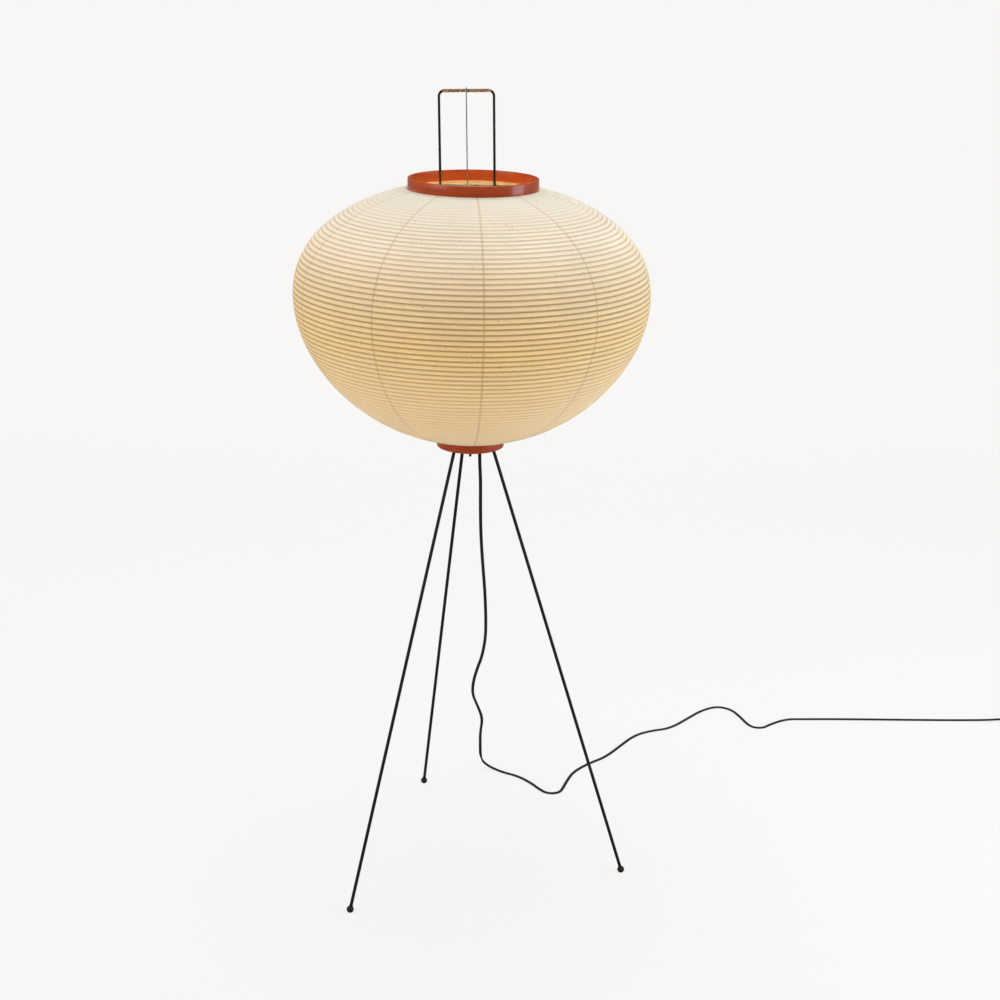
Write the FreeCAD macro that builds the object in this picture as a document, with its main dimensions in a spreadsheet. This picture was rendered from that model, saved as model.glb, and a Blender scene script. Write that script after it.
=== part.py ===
"""Paper lantern floor lamp: ribbed paper shade on a three-legged steel stand.

Millimetres. The origin is on the floor under the lantern's axis, +Z is up,
-Y faces the viewer and +X is to the viewer's right, where the cord runs off.
"""
import FreeCAD, Part
import math
import os

import Sketcher

Vector = FreeCAD.Vector
Rotation = FreeCAD.Rotation
Placement = FreeCAD.Placement

# ---------------------------------------------------------------- dimensions
SIZES = {
    # lantern outline: two half ovals that meet at the widest level
    "shade_radius": 260.0,
    "shade_level": 912.9,
    "shade_rise": 164.3,
    "shade_drop": 217.6,
    "paper_wall": 0.5,
    "paper_dip": 0.7,
    "rib_width": 1.6,
    "rib_thick": 0.9,
    # lacquered hoops
    "hoop_wall": 2.6,
    "hoop_height": 16.2,
    "top_hoop_radius": 94.1,
    "top_hoop_rim": 1082.5,
    "bottom_hoop_radius": 50.0,
    "bottom_hoop_foot": 685.8,
    "ledge_width": 3.9,
    "ledge_thick": 3.0,
    "ledge_top": 697.0,
    # stand
    "plate_radius": 46.9,
    "plate_thick": 3.0,
    "leg_radius": 2.5,
    "leg_spread": 253.3,
    "leg_gather": 29.2,
    "leg_gather_level": 699.8,
    "leg_top": 696.0,
    "socket_radius": 4.5,
    "socket_foot": 688.5,
    "foot_radius": 5.5,
    "foot_flat": 0.5,
    # wire bail and the hanger that holds the shade open
    "bail_wire": 1.8,
    "bail_half_width": 38.8,
    "bail_height": 1203.8,
    "bail_corner": 7.5,
    "bail_end": 692.8,
    "wrap_strand": 0.4,
    "hanger_wire": 0.8,
    "eye_radius": 3.9,
    "cross_wire_radius": 1.2,
    "cross_wire_level": 1071.0,
    "cross_wire_back": 3.6,
    # lampholder
    "bolt_radius": 2.0,
    "bolt_tip": 667.6,
    "nut_radius": 3.8,
    "nut_thick": 3.2,
    "holder_radius": 20.0,
    "holder_wall": 3.0,
    "holder_floor": 708.0,
    "holder_joint": 730.0,
    "holder_mouth": 752.0,
    "holder_foot_radius": 8.5,
    "insulator_foot": 719.0,
    "insulator_top": 724.0,
    "shell_radius": 13.9,
    "shell_wall": 0.5,
    # bulb
    "bulb_radius": 30.0,
    "bulb_level": 793.0,
    "glass_wall": 1.0,
    "neck_radius": 12.4,
    "neck_curve": 30.0,
    "cap_radius": 13.1,
    "cap_tip": 725.5,
    "cap_rim": 751.0,
    # flex
    "cord_radius": 2.6,
    "cord_across": 14.0,
    "grommet_foot": 689.0,
    "coil_outer": 34.3,
    "coil_pitch": 5.8,
    "coil_foot": 0.8,
    "tie_width": 5.0,
    "tie_wall": 0.6,
    "tie_foot": 0.1,
    "tie_inner_reach": 20.6,
    "tie_outer_reach": 33.5,
    # switch on the flex
    "switch_length": 64.0,
    "switch_width": 26.0,
    "switch_height": 14.0,
    "switch_parting": 6.0,
    "switch_wall": 2.0,
    "switch_start": 1024.0,
    "switch_across": 535.0,
    "rocker_length": 20.0,
    "rocker_width": 11.0,
    # plug
    "plug_length": 30.0,
    "plug_width": 25.0,
    "plug_height": 14.0,
    "blade_length": 17.0,
    "blade_width": 6.3,
    "blade_thick": 1.5,
    "blade_spacing": 12.7,
}
RIB_COUNT = 74
SHADE_RISE_POWER = 2.26
SHADE_DROP_POWER = 1.82
LEG_TURN = {"front_left": -132.3, "back": 108.1, "right": -12.3}
BAIL_LEAN = 1.3
BAIL_LEAN_LEVEL = 704.0
WRAP_TURNS = 24
WRAP_SPAN = 60.0
COIL_INWARD_TURNS = 2.0
COIL_CLIMB_TURNS = 0.5
COIL_OUTWARD_TURNS = 1.5
TIE_TURN = 200.0
ROCKER_TILT = 8.0
CLEARANCE = 0.05
RIB_GAP = 0.15
CORD_END_GAP = 0.1
RELIEF_GAP = 0.3
EYE_ARC = 310.0
SHANK_SIDE = 180.0
FOOT_REACH = 4.0
FOOT_GAP = 0.3

# The flex's route, point by point: out of the grommet, down behind the stand
# and over the floor. The first part hangs, the rest lies on its lower side.
HANGING_ROUTE = [
    (14, 0, 689), (14, 0, 665), (16, 13, 625), (16, 30, 577), (17, 52, 525),
    (20, 80, 470), (24, 108, 412), (26, 137, 356), (26, 166, 307), (20, 190, 262),
    (12, 208, 233), (5, 225, 199), (4, 241, 170), (13, 256, 142), (22, 272, 111),
    (18, 288, 77), (18, 300, 46), (19, 306, 17), (30, 303, 5),
]
FLOOR_ROUTE = [
    (56, 284), (85, 269), (107, 245), (123, 220), (134, 207), (148, 205), (159, 212),
    (164, 226), (172, 254), (184, 288), (213, 323), (243, 348), (269, 388), (302, 441),
    (335, 463), (373, 475), (413, 524), (439, 556), (471, 578), (498, 565), (511, 533),
    (521, 499), (531, 485), (549, 484), (563, 499), (598, 525), (634, 526), (690, 529),
]

doc = FreeCAD.newDocument("paper_lantern_lamp")
sheet = doc.addObject("Spreadsheet::Sheet", "sizes")
for row, (alias, value) in enumerate(SIZES.items(), start=1):
    sheet.set("A%d" % row, alias)
    sheet.set("B%d" % row, str(value))
    sheet.setAlias("B%d" % row, alias)
doc.recompute()

nodes = []


# ------------------------------------------------------------------- helpers
def number(words):
    """Value of a sum such as "plate_radius - hoop_wall + 2"."""
    total = 0.0
    sign = 1.0
    for word in words.split():
        if word in "+-":
            sign = 1.0 if word == "+" else -1.0
        else:
            total += sign * (SIZES[word] if word in SIZES else float(word))
    return total


def bound(words):
    """The same sum as an expression on the sheet's cells."""
    return " ".join("sizes." + word if word in SIZES else word for word in words.split())


def keep(item, label):
    """Names a finished sub-part, which is written to its own file."""
    item.Label = label
    nodes.append(item)
    return item


def plane_of(body, role):
    return [plane for plane in body.Origin.OriginFeatures if plane.Role == role][0]


def new_sketch(body, name, role):
    sketch = body.newObject("Sketcher::SketchObject", name)
    sketch.AttachmentSupport = [(plane_of(body, role), "")]
    sketch.MapMode = "FlatFace"
    return sketch


def place_point(sketch, index, position, across, along):
    """Ties one point of a sketch to the origin by two bound distances."""
    for kind, axis, words in (("DistanceX", -2, across), ("DistanceY", -1, along)):
        value = number(words)
        if abs(value) < 1e-9:
            sketch.addConstraint(Sketcher.Constraint("PointOnObject", index, position, axis))
        else:
            made = sketch.addConstraint(Sketcher.Constraint(kind, -1, 1, index, position, value))
            sketch.setExpression("Constraints[%d]" % made, bound(words))


def draw_outline(sketch, points):
    """Closed outline of straight lines, every corner bound to the sheet."""
    corners = [Vector(number(across), number(along), 0) for across, along in points]
    count = len(corners)
    sketch.addGeometry([Part.LineSegment(corners[i], corners[(i + 1) % count])
                        for i in range(count)], False)
    for i in range(count):
        sketch.addConstraint(Sketcher.Constraint("Coincident", i, 2, (i + 1) % count, 1))
    for i, (across, along) in enumerate(points):
        place_point(sketch, i, 1, across, along)


def turned(name, points):
    """A piece turned about the lamp's axis from (radius, height) corners."""
    body = doc.addObject("PartDesign::Body", name)
    sketch = new_sketch(body, name + "_profile", "XZ_Plane")
    draw_outline(sketch, points)
    turn = body.newObject("PartDesign::Revolution", name + "_turn")
    turn.Profile = sketch
    turn.ReferenceAxis = (sketch, ["V_Axis"])
    turn.Angle = 360
    body.Tip = turn
    return body


def drilled_pad(name, circles, length, level):
    """A flat pad with round holes: circles are (x, y, radius), outer one first."""
    body = doc.addObject("PartDesign::Body", name)
    sketch = new_sketch(body, name + "_outline", "XY_Plane")
    for index, (across, along, radius) in enumerate(circles):
        centre = Vector(number(across), number(along), 0)
        sketch.addGeometry(Part.Circle(centre, Vector(0, 0, 1), number(radius)), False)
        place_point(sketch, index, 3, across, along)
        made = sketch.addConstraint(Sketcher.Constraint("Radius", index, number(radius)))
        sketch.setExpression("Constraints[%d]" % made, bound(radius))
    pad = body.newObject("PartDesign::Pad", name + "_pad")
    pad.Profile = sketch
    pad.setExpression("Length", bound(length))
    body.Tip = pad
    body.setExpression("Placement.Base.z", bound(level))
    return body


def cylinder(name, radius, height, placement=None):
    item = doc.addObject("Part::Cylinder", name)
    item.setExpression("Radius", bound(radius))
    item.setExpression("Height", bound(height))
    if placement is not None:
        item.Placement = placement
    return item


def block(name, length, width, height, corner):
    item = doc.addObject("Part::Box", name)
    item.setExpression("Length", bound(length))
    item.setExpression("Width", bound(width))
    item.setExpression("Height", bound(height))
    item.Placement.Base = Vector(*corner)
    return item


def cut(name, base, tool):
    item = doc.addObject("Part::Cut", name)
    item.Base = base
    item.Tool = tool
    return item


def common(name, first, second):
    item = doc.addObject("Part::Common", name)
    item.Base = first
    item.Tool = second
    return item


def together(name, items):
    """Several like solids that share one node."""
    item = doc.addObject("Part::Compound", name)
    item.Links = items
    return item


def nut(name, across, along, foot):
    """Hexagon nut with a plain bore."""
    prism = doc.addObject("Part::Prism", name + "_hexagon")
    prism.Polygon = 6
    prism.setExpression("Circumradius", bound("nut_radius"))
    prism.setExpression("Height", bound("nut_thick"))
    prism.Placement.Base = Vector(across, along, foot)
    bore = cylinder(name + "_bore", "bolt_radius + 0.05", "nut_thick + 2",
                    Placement(Vector(across, along, foot - 1), Rotation()))
    return cut(name, prism, bore)


def shaped(name, shape):
    item = doc.addObject("Part::Feature", name)
    item.Shape = shape
    return item


def rounded_path(points, radii):
    """Straight runs joined by tangent arcs, as one wire."""
    edges = []
    last = points[0]
    for i in range(1, len(points) - 1):
        inward = (points[i] - points[i - 1]).normalize()
        outward = (points[i + 1] - points[i]).normalize()
        reach = radii[i - 1] * math.tan(inward.getAngle(outward) / 2)
        first = points[i] - inward * reach
        second = points[i] + outward * reach
        bisector = (outward - inward).normalize()
        to_centre = math.hypot(radii[i - 1], reach)
        middle = points[i] + bisector * (to_centre - radii[i - 1])
        if (first - last).Length > 1e-6:
            edges.append(Part.LineSegment(last, first).toShape())
        edges.append(Part.Arc(first, middle, second).toShape())
        last = second
    edges.append(Part.LineSegment(last, points[-1]).toShape())
    return Part.Wire(edges)


def tube_on(path, start, heading, radius):
    section = Part.Wire([Part.makeCircle(radius, start, heading)])
    shell = Part.BRepOffsetAPI.MakePipeShell(path)
    shell.add(section)
    shell.build()
    shell.makeSolid()
    return shell.shape()


def bent_wire(points, radii, radius):
    path = rounded_path(points, radii)
    return tube_on(path, points[0], points[1] - points[0], radius)


def cord_radii(points):
    """Arc radii as large as the two runs at each point allow."""
    radii = []
    for i in range(1, len(points) - 1):
        before = points[i] - points[i - 1]
        after = points[i + 1] - points[i]
        shorter = min(before.Length, after.Length)
        radii.append(0.45 * shorter / math.tan(before.getAngle(after) / 2))
    return radii


def cord_tube(label, points):
    """A stretch of flex as a plain tube; prints its bends, volume and length."""
    radii = cord_radii(points)
    path = rounded_path(points, radii)
    solid = tube_on(path, points[0], points[1] - points[0], SIZES["cord_radius"])
    section = math.pi * SIZES["cord_radius"] ** 2
    runs = [(b - a).Length for a, b in zip(points, points[1:])]
    print("%s: radii %s" % (label, " ".join("%.0f" % r for r in radii)))
    print("%s: least radius %.1f, longest run %.0f, length %.0f, volume ratio %.4f"
          % (label, min(radii), max(runs), path.Length, solid.Volume / (section * path.Length)))
    return solid


def biarc(first, first_heading, second, second_heading):
    """Two arcs that join two points with given headings and share a tangent."""
    chord = second - first
    sum_heading = first_heading + second_heading
    a = 2 * (1 - first_heading.dot(second_heading))
    b = 2 * chord.dot(sum_heading)
    reach = (-b + math.sqrt(b * b + 4 * a * chord.dot(chord))) / (2 * a)
    near = first + first_heading * reach
    far = second - second_heading * reach
    joint = (near + far) * 0.5
    edges = []
    for begin, corner, end in ((first, near, joint), (joint, far, second)):
        to_begin = (begin - corner).normalize()
        to_end = (end - corner).normalize()
        half = to_begin.getAngle(to_end) / 2
        arc_radius = reach * math.tan(half)
        bisector = (to_begin + to_end).normalize()
        middle = corner + bisector * (reach / math.cos(half) - arc_radius)
        edges.append(Part.Arc(begin, middle, end).toShape())
    return edges


def wound_tube(place, begin, finish, steps, radius):
    """Unbroken tube along a winding: place(t) gives the point at turn t."""
    nudge = 1e-4

    def heading(t):
        return (place(t + nudge) - place(t - nudge)).normalize()

    stations = [begin + (finish - begin) * i / steps for i in range(steps + 1)]
    edges = [Part.LineSegment(place(begin) - heading(begin) * 2 * radius,
                              place(begin)).toShape()]
    for t, following in zip(stations, stations[1:]):
        edges += biarc(place(t), heading(t), place(following), heading(following))
    edges.append(Part.LineSegment(place(finish),
                                  place(finish) + heading(finish) * 2 * radius).toShape())
    path = Part.Wire(edges)
    start = place(begin) - heading(begin) * 2 * radius
    return tube_on(path, start, heading(begin), radius), path.Length


def least_gap(place, begin, finish, radius, label):
    """Least clear distance between neighbouring turns, on points."""
    per_turn = 36
    count = int((finish - begin) * per_turn)
    points = [place(begin + (finish - begin) * i / count) for i in range(count + 1)]
    least = min((points[i] - points[j]).Length
                for i in range(0, count + 1)
                for j in range(i + per_turn // 2, count + 1, 1))
    print("%s: least gap between turns %.2f" % (label, least - 2 * radius))


# --------------------------------------------------------------------- stand
def make_base_plate():
    hole = "bail_wire + 0.25"
    circles = [("0", "0", "plate_radius"),
               ("0", "0", "bolt_radius + 0.1"),
               ("cord_across", "0", "cord_radius + 1.5"),
               ("bail_half_width", "0", hole),
               ("0 - bail_half_width", "0", hole)]
    keep(drilled_pad("base_plate", circles, "plate_thick", "ledge_top"), "base_plate")


def leg_points(turn):
    """The leg's axis: ball centre on the floor and its upper end."""
    sense = Vector(math.cos(math.radians(turn)), math.sin(math.radians(turn)), 0)
    low_level = number("foot_radius - foot_flat")
    slope = (number("leg_spread - leg_gather")) / (number("leg_gather_level") - low_level)
    top_reach = number("leg_spread") - slope * (number("leg_top") - low_level)
    low = sense * number("leg_spread") + Vector(0, 0, low_level)
    high = sense * top_reach + Vector(0, 0, number("leg_top"))
    return low, high


def make_leg(side, turn):
    """One rod with its ball foot and the tilted socket under the plate."""
    low, high = leg_points(turn)
    heading = high - low
    tilt = Rotation(Vector(0, 0, 1), heading)
    rod = cylinder("rod_" + side, "leg_radius", "leg_top", Placement(low, tilt))
    rod.setExpression("Height", "sqrt((sizes.leg_top - sizes.foot_radius + sizes.foot_flat)^2"
                      " + ((sizes.leg_spread - sizes.leg_gather) * (sizes.leg_top"
                      " - sizes.foot_radius + sizes.foot_flat) / (sizes.leg_gather_level"
                      " - sizes.foot_radius + sizes.foot_flat))^2)")
    keep(rod, "leg_" + side)

    ball = doc.addObject("Part::Sphere", "ball_" + side)
    ball.setExpression("Radius", bound("foot_radius"))
    ball.Placement.Base = low
    under = block("under_" + side, "foot_radius + 20", "foot_radius + 20", "foot_radius + 10",
                  (low.x - 12, low.y - 12, -15.5))
    bore = cylinder("foot_bore_" + side, "leg_radius", "foot_radius + 5", Placement(low, tilt))
    flat_ball = cut("flat_ball_" + side, ball, under)
    keep(cut("foot_solid_" + side, flat_ball, bore), "foot_" + side)

    boss_start = low + heading * ((number("socket_foot") - 8) / high.z)
    boss = cylinder("boss_" + side, "socket_radius", "socket_radius + 22",
                    Placement(boss_start, tilt))
    boss_bore = cylinder("boss_bore_" + side, "leg_radius + 0.05", "socket_radius + 22",
                         Placement(boss_start, tilt))
    slab = block("slab_" + side, "plate_radius + 60", "plate_radius + 60",
                 "ledge_top - socket_foot", (-53, -53, number("socket_foot")))
    trimmed = common("trimmed_" + side, boss, slab)
    keep(cut("socket_" + side, trimmed, boss_bore), "leg_socket_" + side)


def lean(point):
    """Leans a point of the bail's upright frame to the left, as the real one stands."""
    pivot = Vector(0, 0, BAIL_LEAN_LEVEL)
    return pivot + Rotation(Vector(0, 1, 0), -BAIL_LEAN).multVec(point - pivot)


def make_bail():
    """Tall wire bow from the plate up through the lantern."""
    half = number("bail_half_width")
    end = number("bail_end")
    top = number("bail_height")
    corners = [Vector(-half, 0, end), Vector(-half, 0, top),
               Vector(half, 0, top), Vector(half, 0, end)]
    corner = number("bail_corner")
    bow = bent_wire([lean(p) for p in corners], [corner, corner], number("bail_wire"))
    keep(shaped("bail_bow", bow), "bail")
    foot = number("ledge_top - nut_thick")
    pair = [nut("bail_nut_left", -half + 0.15, 0, foot), nut("bail_nut_right", half + 0.15, 0, foot)]
    keep(together("bail_nut_pair", pair), "bail_nuts")


def make_bail_wrap():
    """Cane strand wound round the bail's grip."""
    around = number("bail_wire + wrap_strand") + CLEARANCE
    top = number("bail_height")

    def place(t):
        angle = 2 * math.pi * t
        across = WRAP_SPAN * (t / WRAP_TURNS - 0.5)
        return lean(Vector(across, around * math.sin(angle), top + around * math.cos(angle)))

    strand, length = wound_tube(place, 0, WRAP_TURNS, 4 * WRAP_TURNS, number("wrap_strand"))
    least_gap(place, 0, WRAP_TURNS, number("wrap_strand"), "bail_wrap")
    print("bail_wrap: strand length %.0f" % length)
    keep(shaped("wrap_strand_solid", strand), "bail_wrap")


# ------------------------------------------------------------------- lantern
def outline_point(t):
    """Point and outward normal of the lantern's outline; t < 0 is below the widest level."""
    half_turn = abs(t)
    power = SHADE_RISE_POWER if t >= 0 else SHADE_DROP_POWER
    reach = number("shade_rise") if t >= 0 else -number("shade_drop")
    radius = number("shade_radius") * math.cos(half_turn)
    level = number("shade_level") + reach * math.sin(half_turn) ** (2 / power)
    share = abs((level - number("shade_level")) / reach)
    slope_r = 2 * radius / number("shade_radius") ** 2
    slope_z = power * share ** (power - 1) / reach
    normal = Vector(slope_r, 0, slope_z).normalize()
    return Vector(radius, 0, level), normal


def outline_stations(count):
    """Points spaced evenly along the outline, from the bottom hoop to the top hoop."""
    edge_gap = number("paper_wall") + CLEARANCE
    low = -math.acos((number("bottom_hoop_radius") + edge_gap) / number("shade_radius"))
    high = math.acos((number("top_hoop_radius") + edge_gap) / number("shade_radius"))
    fine = 4000
    values = [low + (high - low) * i / fine for i in range(fine + 1)]
    points = [outline_point(t)[0] for t in values]
    run = [0.0]
    for a, b in zip(points, points[1:]):
        run.append(run[-1] + (b - a).Length)
    stations = []
    j = 0
    for i in range(count + 1):
        target = run[-1] * i / count
        while j < fine - 1 and run[j + 1] < target:
            j += 1
        share = (target - run[j]) / (run[j + 1] - run[j])
        stations.append(outline_point(values[j] + share * (values[j + 1] - values[j])))
    print("lantern outline: length %.1f, rib spacing %.2f" % (run[-1], 2 * run[-1] / count))
    return stations


def make_lantern():
    """Paper skin drawn in between the ribs, and the bamboo hoops behind its ridges."""
    stations = outline_stations(2 * (RIB_COUNT + 1))
    wall = number("paper_wall")
    dip = number("paper_dip")
    outside = []
    inside = []
    for i, (point, normal) in enumerate(stations):
        drawn_in = dip if i % 2 else 0.0
        outside.append(point - normal * drawn_in)
        inside.append(point - normal * (drawn_in + wall))
    inside[0].x = outside[0].x - wall
    inside[-1].x = outside[-1].x - wall
    profile = Part.makePolygon(outside + inside[::-1] + [outside[0]])
    skin = Part.Face(profile).revolve(Vector(0, 0, 0), Vector(0, 0, 1), 360)
    keep(shaped("paper_skin", skin), "paper_shade")

    half_width = number("rib_width") / 2
    thick = number("rib_thick")
    half_spacing = (stations[1][0] - stations[0][0]).Length
    setback = wall + dip * half_width / half_spacing + RIB_GAP
    hoops = []
    for point, normal in stations[2:-1:2]:
        along = Vector(-normal.z, 0, normal.x)
        front = point - normal * setback
        back = front - normal * thick
        corners = [front - along * half_width, front + along * half_width,
                   back + along * half_width, back - along * half_width]
        strip = Part.Face(Part.makePolygon(corners + [corners[0]]))
        hoops.append(strip.revolve(Vector(0, 0, 0), Vector(0, 0, 1), 360))
    keep(shaped("rib_hoops", Part.makeCompound(hoops)), "bamboo_ribs")


def make_bottom_ring():
    inner = "bottom_hoop_radius - hoop_wall"
    lip = inner + " - ledge_width"
    rim = "bottom_hoop_foot + hoop_height"
    under = "ledge_top - ledge_thick"
    keep(turned("bottom_hoop", [
        ("bottom_hoop_radius", "bottom_hoop_foot"), ("bottom_hoop_radius", rim), (inner, rim),
        (inner, "ledge_top"), (lip, "ledge_top"), (lip, under), (inner, under),
        (inner, "bottom_hoop_foot")]), "bottom_ring")


def make_top_ring():
    """Top hoop, with the wire that the hanger carries pinned across it."""
    inner = "top_hoop_radius - hoop_wall"
    foot = "top_hoop_rim - hoop_height"
    hoop = turned("top_hoop", [("top_hoop_radius", foot), ("top_hoop_radius", "top_hoop_rim"),
                               (inner, "top_hoop_rim"), (inner, foot)])
    along = Rotation(Vector(0, 0, 1), Vector(1, 0, 0))
    reach = number("top_hoop_radius") - 1.0
    level = number("cross_wire_level")
    back = number("cross_wire_back")
    socket = cylinder("cross_wire_socket", "cross_wire_radius + 0.05",
                      "top_hoop_radius + top_hoop_radius - 2",
                      Placement(Vector(-reach, back, level), along))
    keep(cut("drilled_top_hoop", hoop, socket), "top_ring")
    keep(cylinder("cross_wire_rod", "cross_wire_radius", "top_hoop_radius + top_hoop_radius - 2.4",
                  Placement(Vector(-reach + 0.2, back, level), along)), "cross_wire")


def make_hanger():
    """Thin wire: an eye round the grip, a shank beside the bail's legs and a foot under the wire."""
    grip = number("bail_height")
    eye = number("eye_radius")
    wire = number("hanger_wire")
    foot = number("cross_wire_level - cross_wire_radius - hanger_wire") - FOOT_GAP
    foot_bend = 2.0

    def on_eye(degrees):
        angle = math.radians(degrees)
        return Vector(0, eye * math.cos(angle), grip + eye * math.sin(angle))

    centre = lean(Vector(0, 0, grip))
    across = lean(Vector(1, 0, grip)) - centre
    start = lean(on_eye(SHANK_SIDE - EYE_ARC))
    section = Part.Face(Part.Wire([Part.makeCircle(wire, start, across.cross(start - centre))]))
    loop = section.revolve(centre, across, EYE_ARC)

    shank_y = -eye
    toe_y = number("cross_wire_back") + FOOT_REACH
    corners = [Vector(0, shank_y, grip), Vector(0, shank_y, foot), Vector(0, toe_y, foot)]
    shank = bent_wire([lean(p) for p in corners], [foot_bend], wire)
    keep(shaped("hanger_hook", loop.fuse(shank).removeSplitter()), "hanger_wire")


# --------------------------------------------------------------- lampholder
def make_holder():
    """Lampholder bolted to the plate, from its foot up to the skirt."""
    floor_top = "holder_floor + holder_wall"
    head = floor_top + " + 2.5"
    keep(turned("bolt", [("0", "bolt_tip"), ("1.2", "bolt_tip"), ("bolt_radius", "bolt_tip + 1"),
                         ("bolt_radius", floor_top), ("nut_radius", floor_top),
                         ("nut_radius", head), ("0", head)]), "holder_bolt")
    keep(nut("bolt_nut", 0, 0, number("ledge_top - nut_thick")), "holder_nut")
    plate_top = "ledge_top + plate_thick"
    bore = "bolt_radius + 0.1"
    keep(turned("foot_bush", [(bore, plate_top), ("holder_foot_radius", plate_top),
                              ("holder_foot_radius", "holder_floor"), (bore, "holder_floor")]),
         "holder_foot")

    inner = "holder_radius - holder_wall"
    cup = turned("cup", [(bore, "holder_floor"), ("holder_radius - 1.5", "holder_floor"),
                         ("holder_radius", "holder_floor + 1.5"),
                         ("holder_radius", "holder_joint"), (inner, "holder_joint"),
                         (inner, floor_top), (bore, floor_top)])
    entry = cylinder("cup_entry", "cord_radius + 0.1", "holder_wall + 4",
                     Placement(Vector(number("cord_across"), 0, number("holder_floor") - 2),
                               Rotation()))
    keep(cut("drilled_cup", cup, entry), "holder_cup")

    keep(turned("insulator", [("2", "insulator_foot"), (inner + " - 0.2", "insulator_foot"),
                              (inner + " - 0.2", "insulator_top"), ("2", "insulator_top")]),
         "holder_insulator")
    screws = []
    for side in (-1, 1):
        screws.append(cylinder("terminal_screw_%d" % (side + 1), "bolt_radius", "holder_wall",
                               Placement(Vector(0, 10 * side, number("insulator_foot - 3")),
                                         Rotation())))
    keep(together("terminal_screw_pair", screws), "terminal_screws")
    keep(turned("contact", [("0", "insulator_foot"), ("1.9", "insulator_foot"),
                            ("1.9", "insulator_top"), ("4", "insulator_top"),
                            ("4", "insulator_top + 1.2"), ("0", "insulator_top + 1.2")]),
         "centre_contact")
    sleeve = "shell_radius - shell_wall"
    step = "insulator_top + shell_wall"
    keep(turned("shell", [("9", "insulator_top"), ("shell_radius", "insulator_top"),
                          ("shell_radius", "cap_rim - 1.5"), (sleeve, "cap_rim - 1.5"),
                          (sleeve, step), ("9", step)]), "screw_shell")
    mouth = "shell_radius + 0.1"
    spigot = inner + " - 0.1"
    keep(turned("skirt", [(mouth, "insulator_top + 0.2"), (spigot, "insulator_top + 0.2"),
                          (spigot, "holder_joint"), ("holder_radius", "holder_joint"),
                          ("holder_radius", "holder_mouth - 2"),
                          ("holder_radius - 2", "holder_mouth"), (mouth, "holder_mouth")]),
         "holder_skirt")


def make_bulb():
    """Screw-cap bulb: metal cap, pear-shaped glass, stem and four light sticks."""
    bore = "cap_radius - 0.5"
    keep(turned("cap", [("0", "cap_tip"), ("4.8", "cap_tip"), ("4.8", "cap_tip + 1.5"),
                        ("cap_radius - 0.4", "cap_tip + 5.5"), ("cap_radius", "cap_tip + 7"),
                        ("cap_radius", "cap_rim"), (bore, "cap_rim"), (bore, "cap_tip + 9"),
                        ("0", "cap_tip + 9")]), "bulb_cap")

    neck = number("neck_radius")
    curve = number("neck_curve")
    ball = number("bulb_radius")
    wall = number("glass_wall")
    level = number("bulb_level")
    foot = number("cap_rim") - 9.0
    across = neck + curve
    drop = math.sqrt((ball + curve) ** 2 - across ** 2)
    curve_centre = Vector(across, 0, level - drop)
    ball_centre = Vector(0, 0, level)
    to_curve = (curve_centre - ball_centre).normalize()

    def side(radius):
        """Outline of the glass for a ball of this radius, from the neck to the crown."""
        bend = ball + curve - radius
        neck_radius = across - bend
        bend_top = ball_centre + to_curve * radius
        low = Vector(neck_radius, 0, curve_centre.z)
        half = (Vector(-1, 0, 0) + (bend_top - curve_centre).normalize()).normalize()
        belly = (Vector(1, 0, 0) + to_curve * 0.2).normalize()
        crown = Vector(0, 0, level + radius)
        return [Part.LineSegment(Vector(neck_radius, 0, foot), low).toShape(),
                Part.Arc(low, curve_centre + half * bend, bend_top).toShape(),
                Part.Arc(bend_top, ball_centre + belly * radius, crown).toShape()]

    outer = side(ball)
    inner = side(ball - wall)
    edges = outer + [Part.LineSegment(Vector(0, 0, level + ball),
                                      Vector(0, 0, level + ball - wall)).toShape()]
    edges += inner + [Part.LineSegment(Vector(neck - wall, 0, foot),
                                       Vector(neck, 0, foot)).toShape()]
    face = Part.Face(Part.Wire(Part.__sortEdges__(edges)))
    keep(shaped("glass", face.revolve(Vector(0, 0, 0), Vector(0, 0, 1), 360)), "bulb_glass")

    base = "cap_rim - 8"
    keep(turned("stem", [("0", base), ("neck_radius - 1.2", base), ("neck_radius - 1.2", "cap_rim - 6"),
                         ("4", "cap_rim - 3"), ("2.5", "bulb_level - 12"),
                         ("2.5", "bulb_level + 12"), ("0", "bulb_level + 12")]), "bulb_stem")
    sticks = []
    for i in range(4):
        angle = math.radians(45 + 90 * i)
        spot = Vector(8 * math.cos(angle), 8 * math.sin(angle), number("bulb_level") - 15)
        sticks.append(cylinder("light_stick_%d" % i, "hanger_wire", "bulb_radius",
                               Placement(spot, Rotation())))
    keep(together("light_sticks", sticks), "bulb_filaments")


# ---------------------------------------------------------------------- flex
def make_grommet():
    """Rubber grommet in the plate, and the short lead from it into the holder."""
    across = number("cord_across")
    bore = "cord_radius + 0.05"
    neck = "cord_radius + 1.4"
    flange = "cord_radius + 2.3"
    under = "ledge_top - 1.5"
    over = "ledge_top + plate_thick"
    grommet = turned("grommet", [(bore, "grommet_foot"), ("cord_radius + 1", "grommet_foot"),
                                 (neck, under), (flange, under), (flange, "ledge_top"),
                                 (neck, "ledge_top"), (neck, over), (flange, over),
                                 (flange, over + " + 1.5"), (bore, over + " + 1.5")])
    grommet.Placement.Base = Vector(across, 0, 0)
    keep(grommet, "cord_grommet")
    keep(cylinder("lead", "cord_radius", "holder_floor - grommet_foot + 7",
                  Placement(Vector(across, 0, number("grommet_foot")), Rotation())), "cord_lead")


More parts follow.
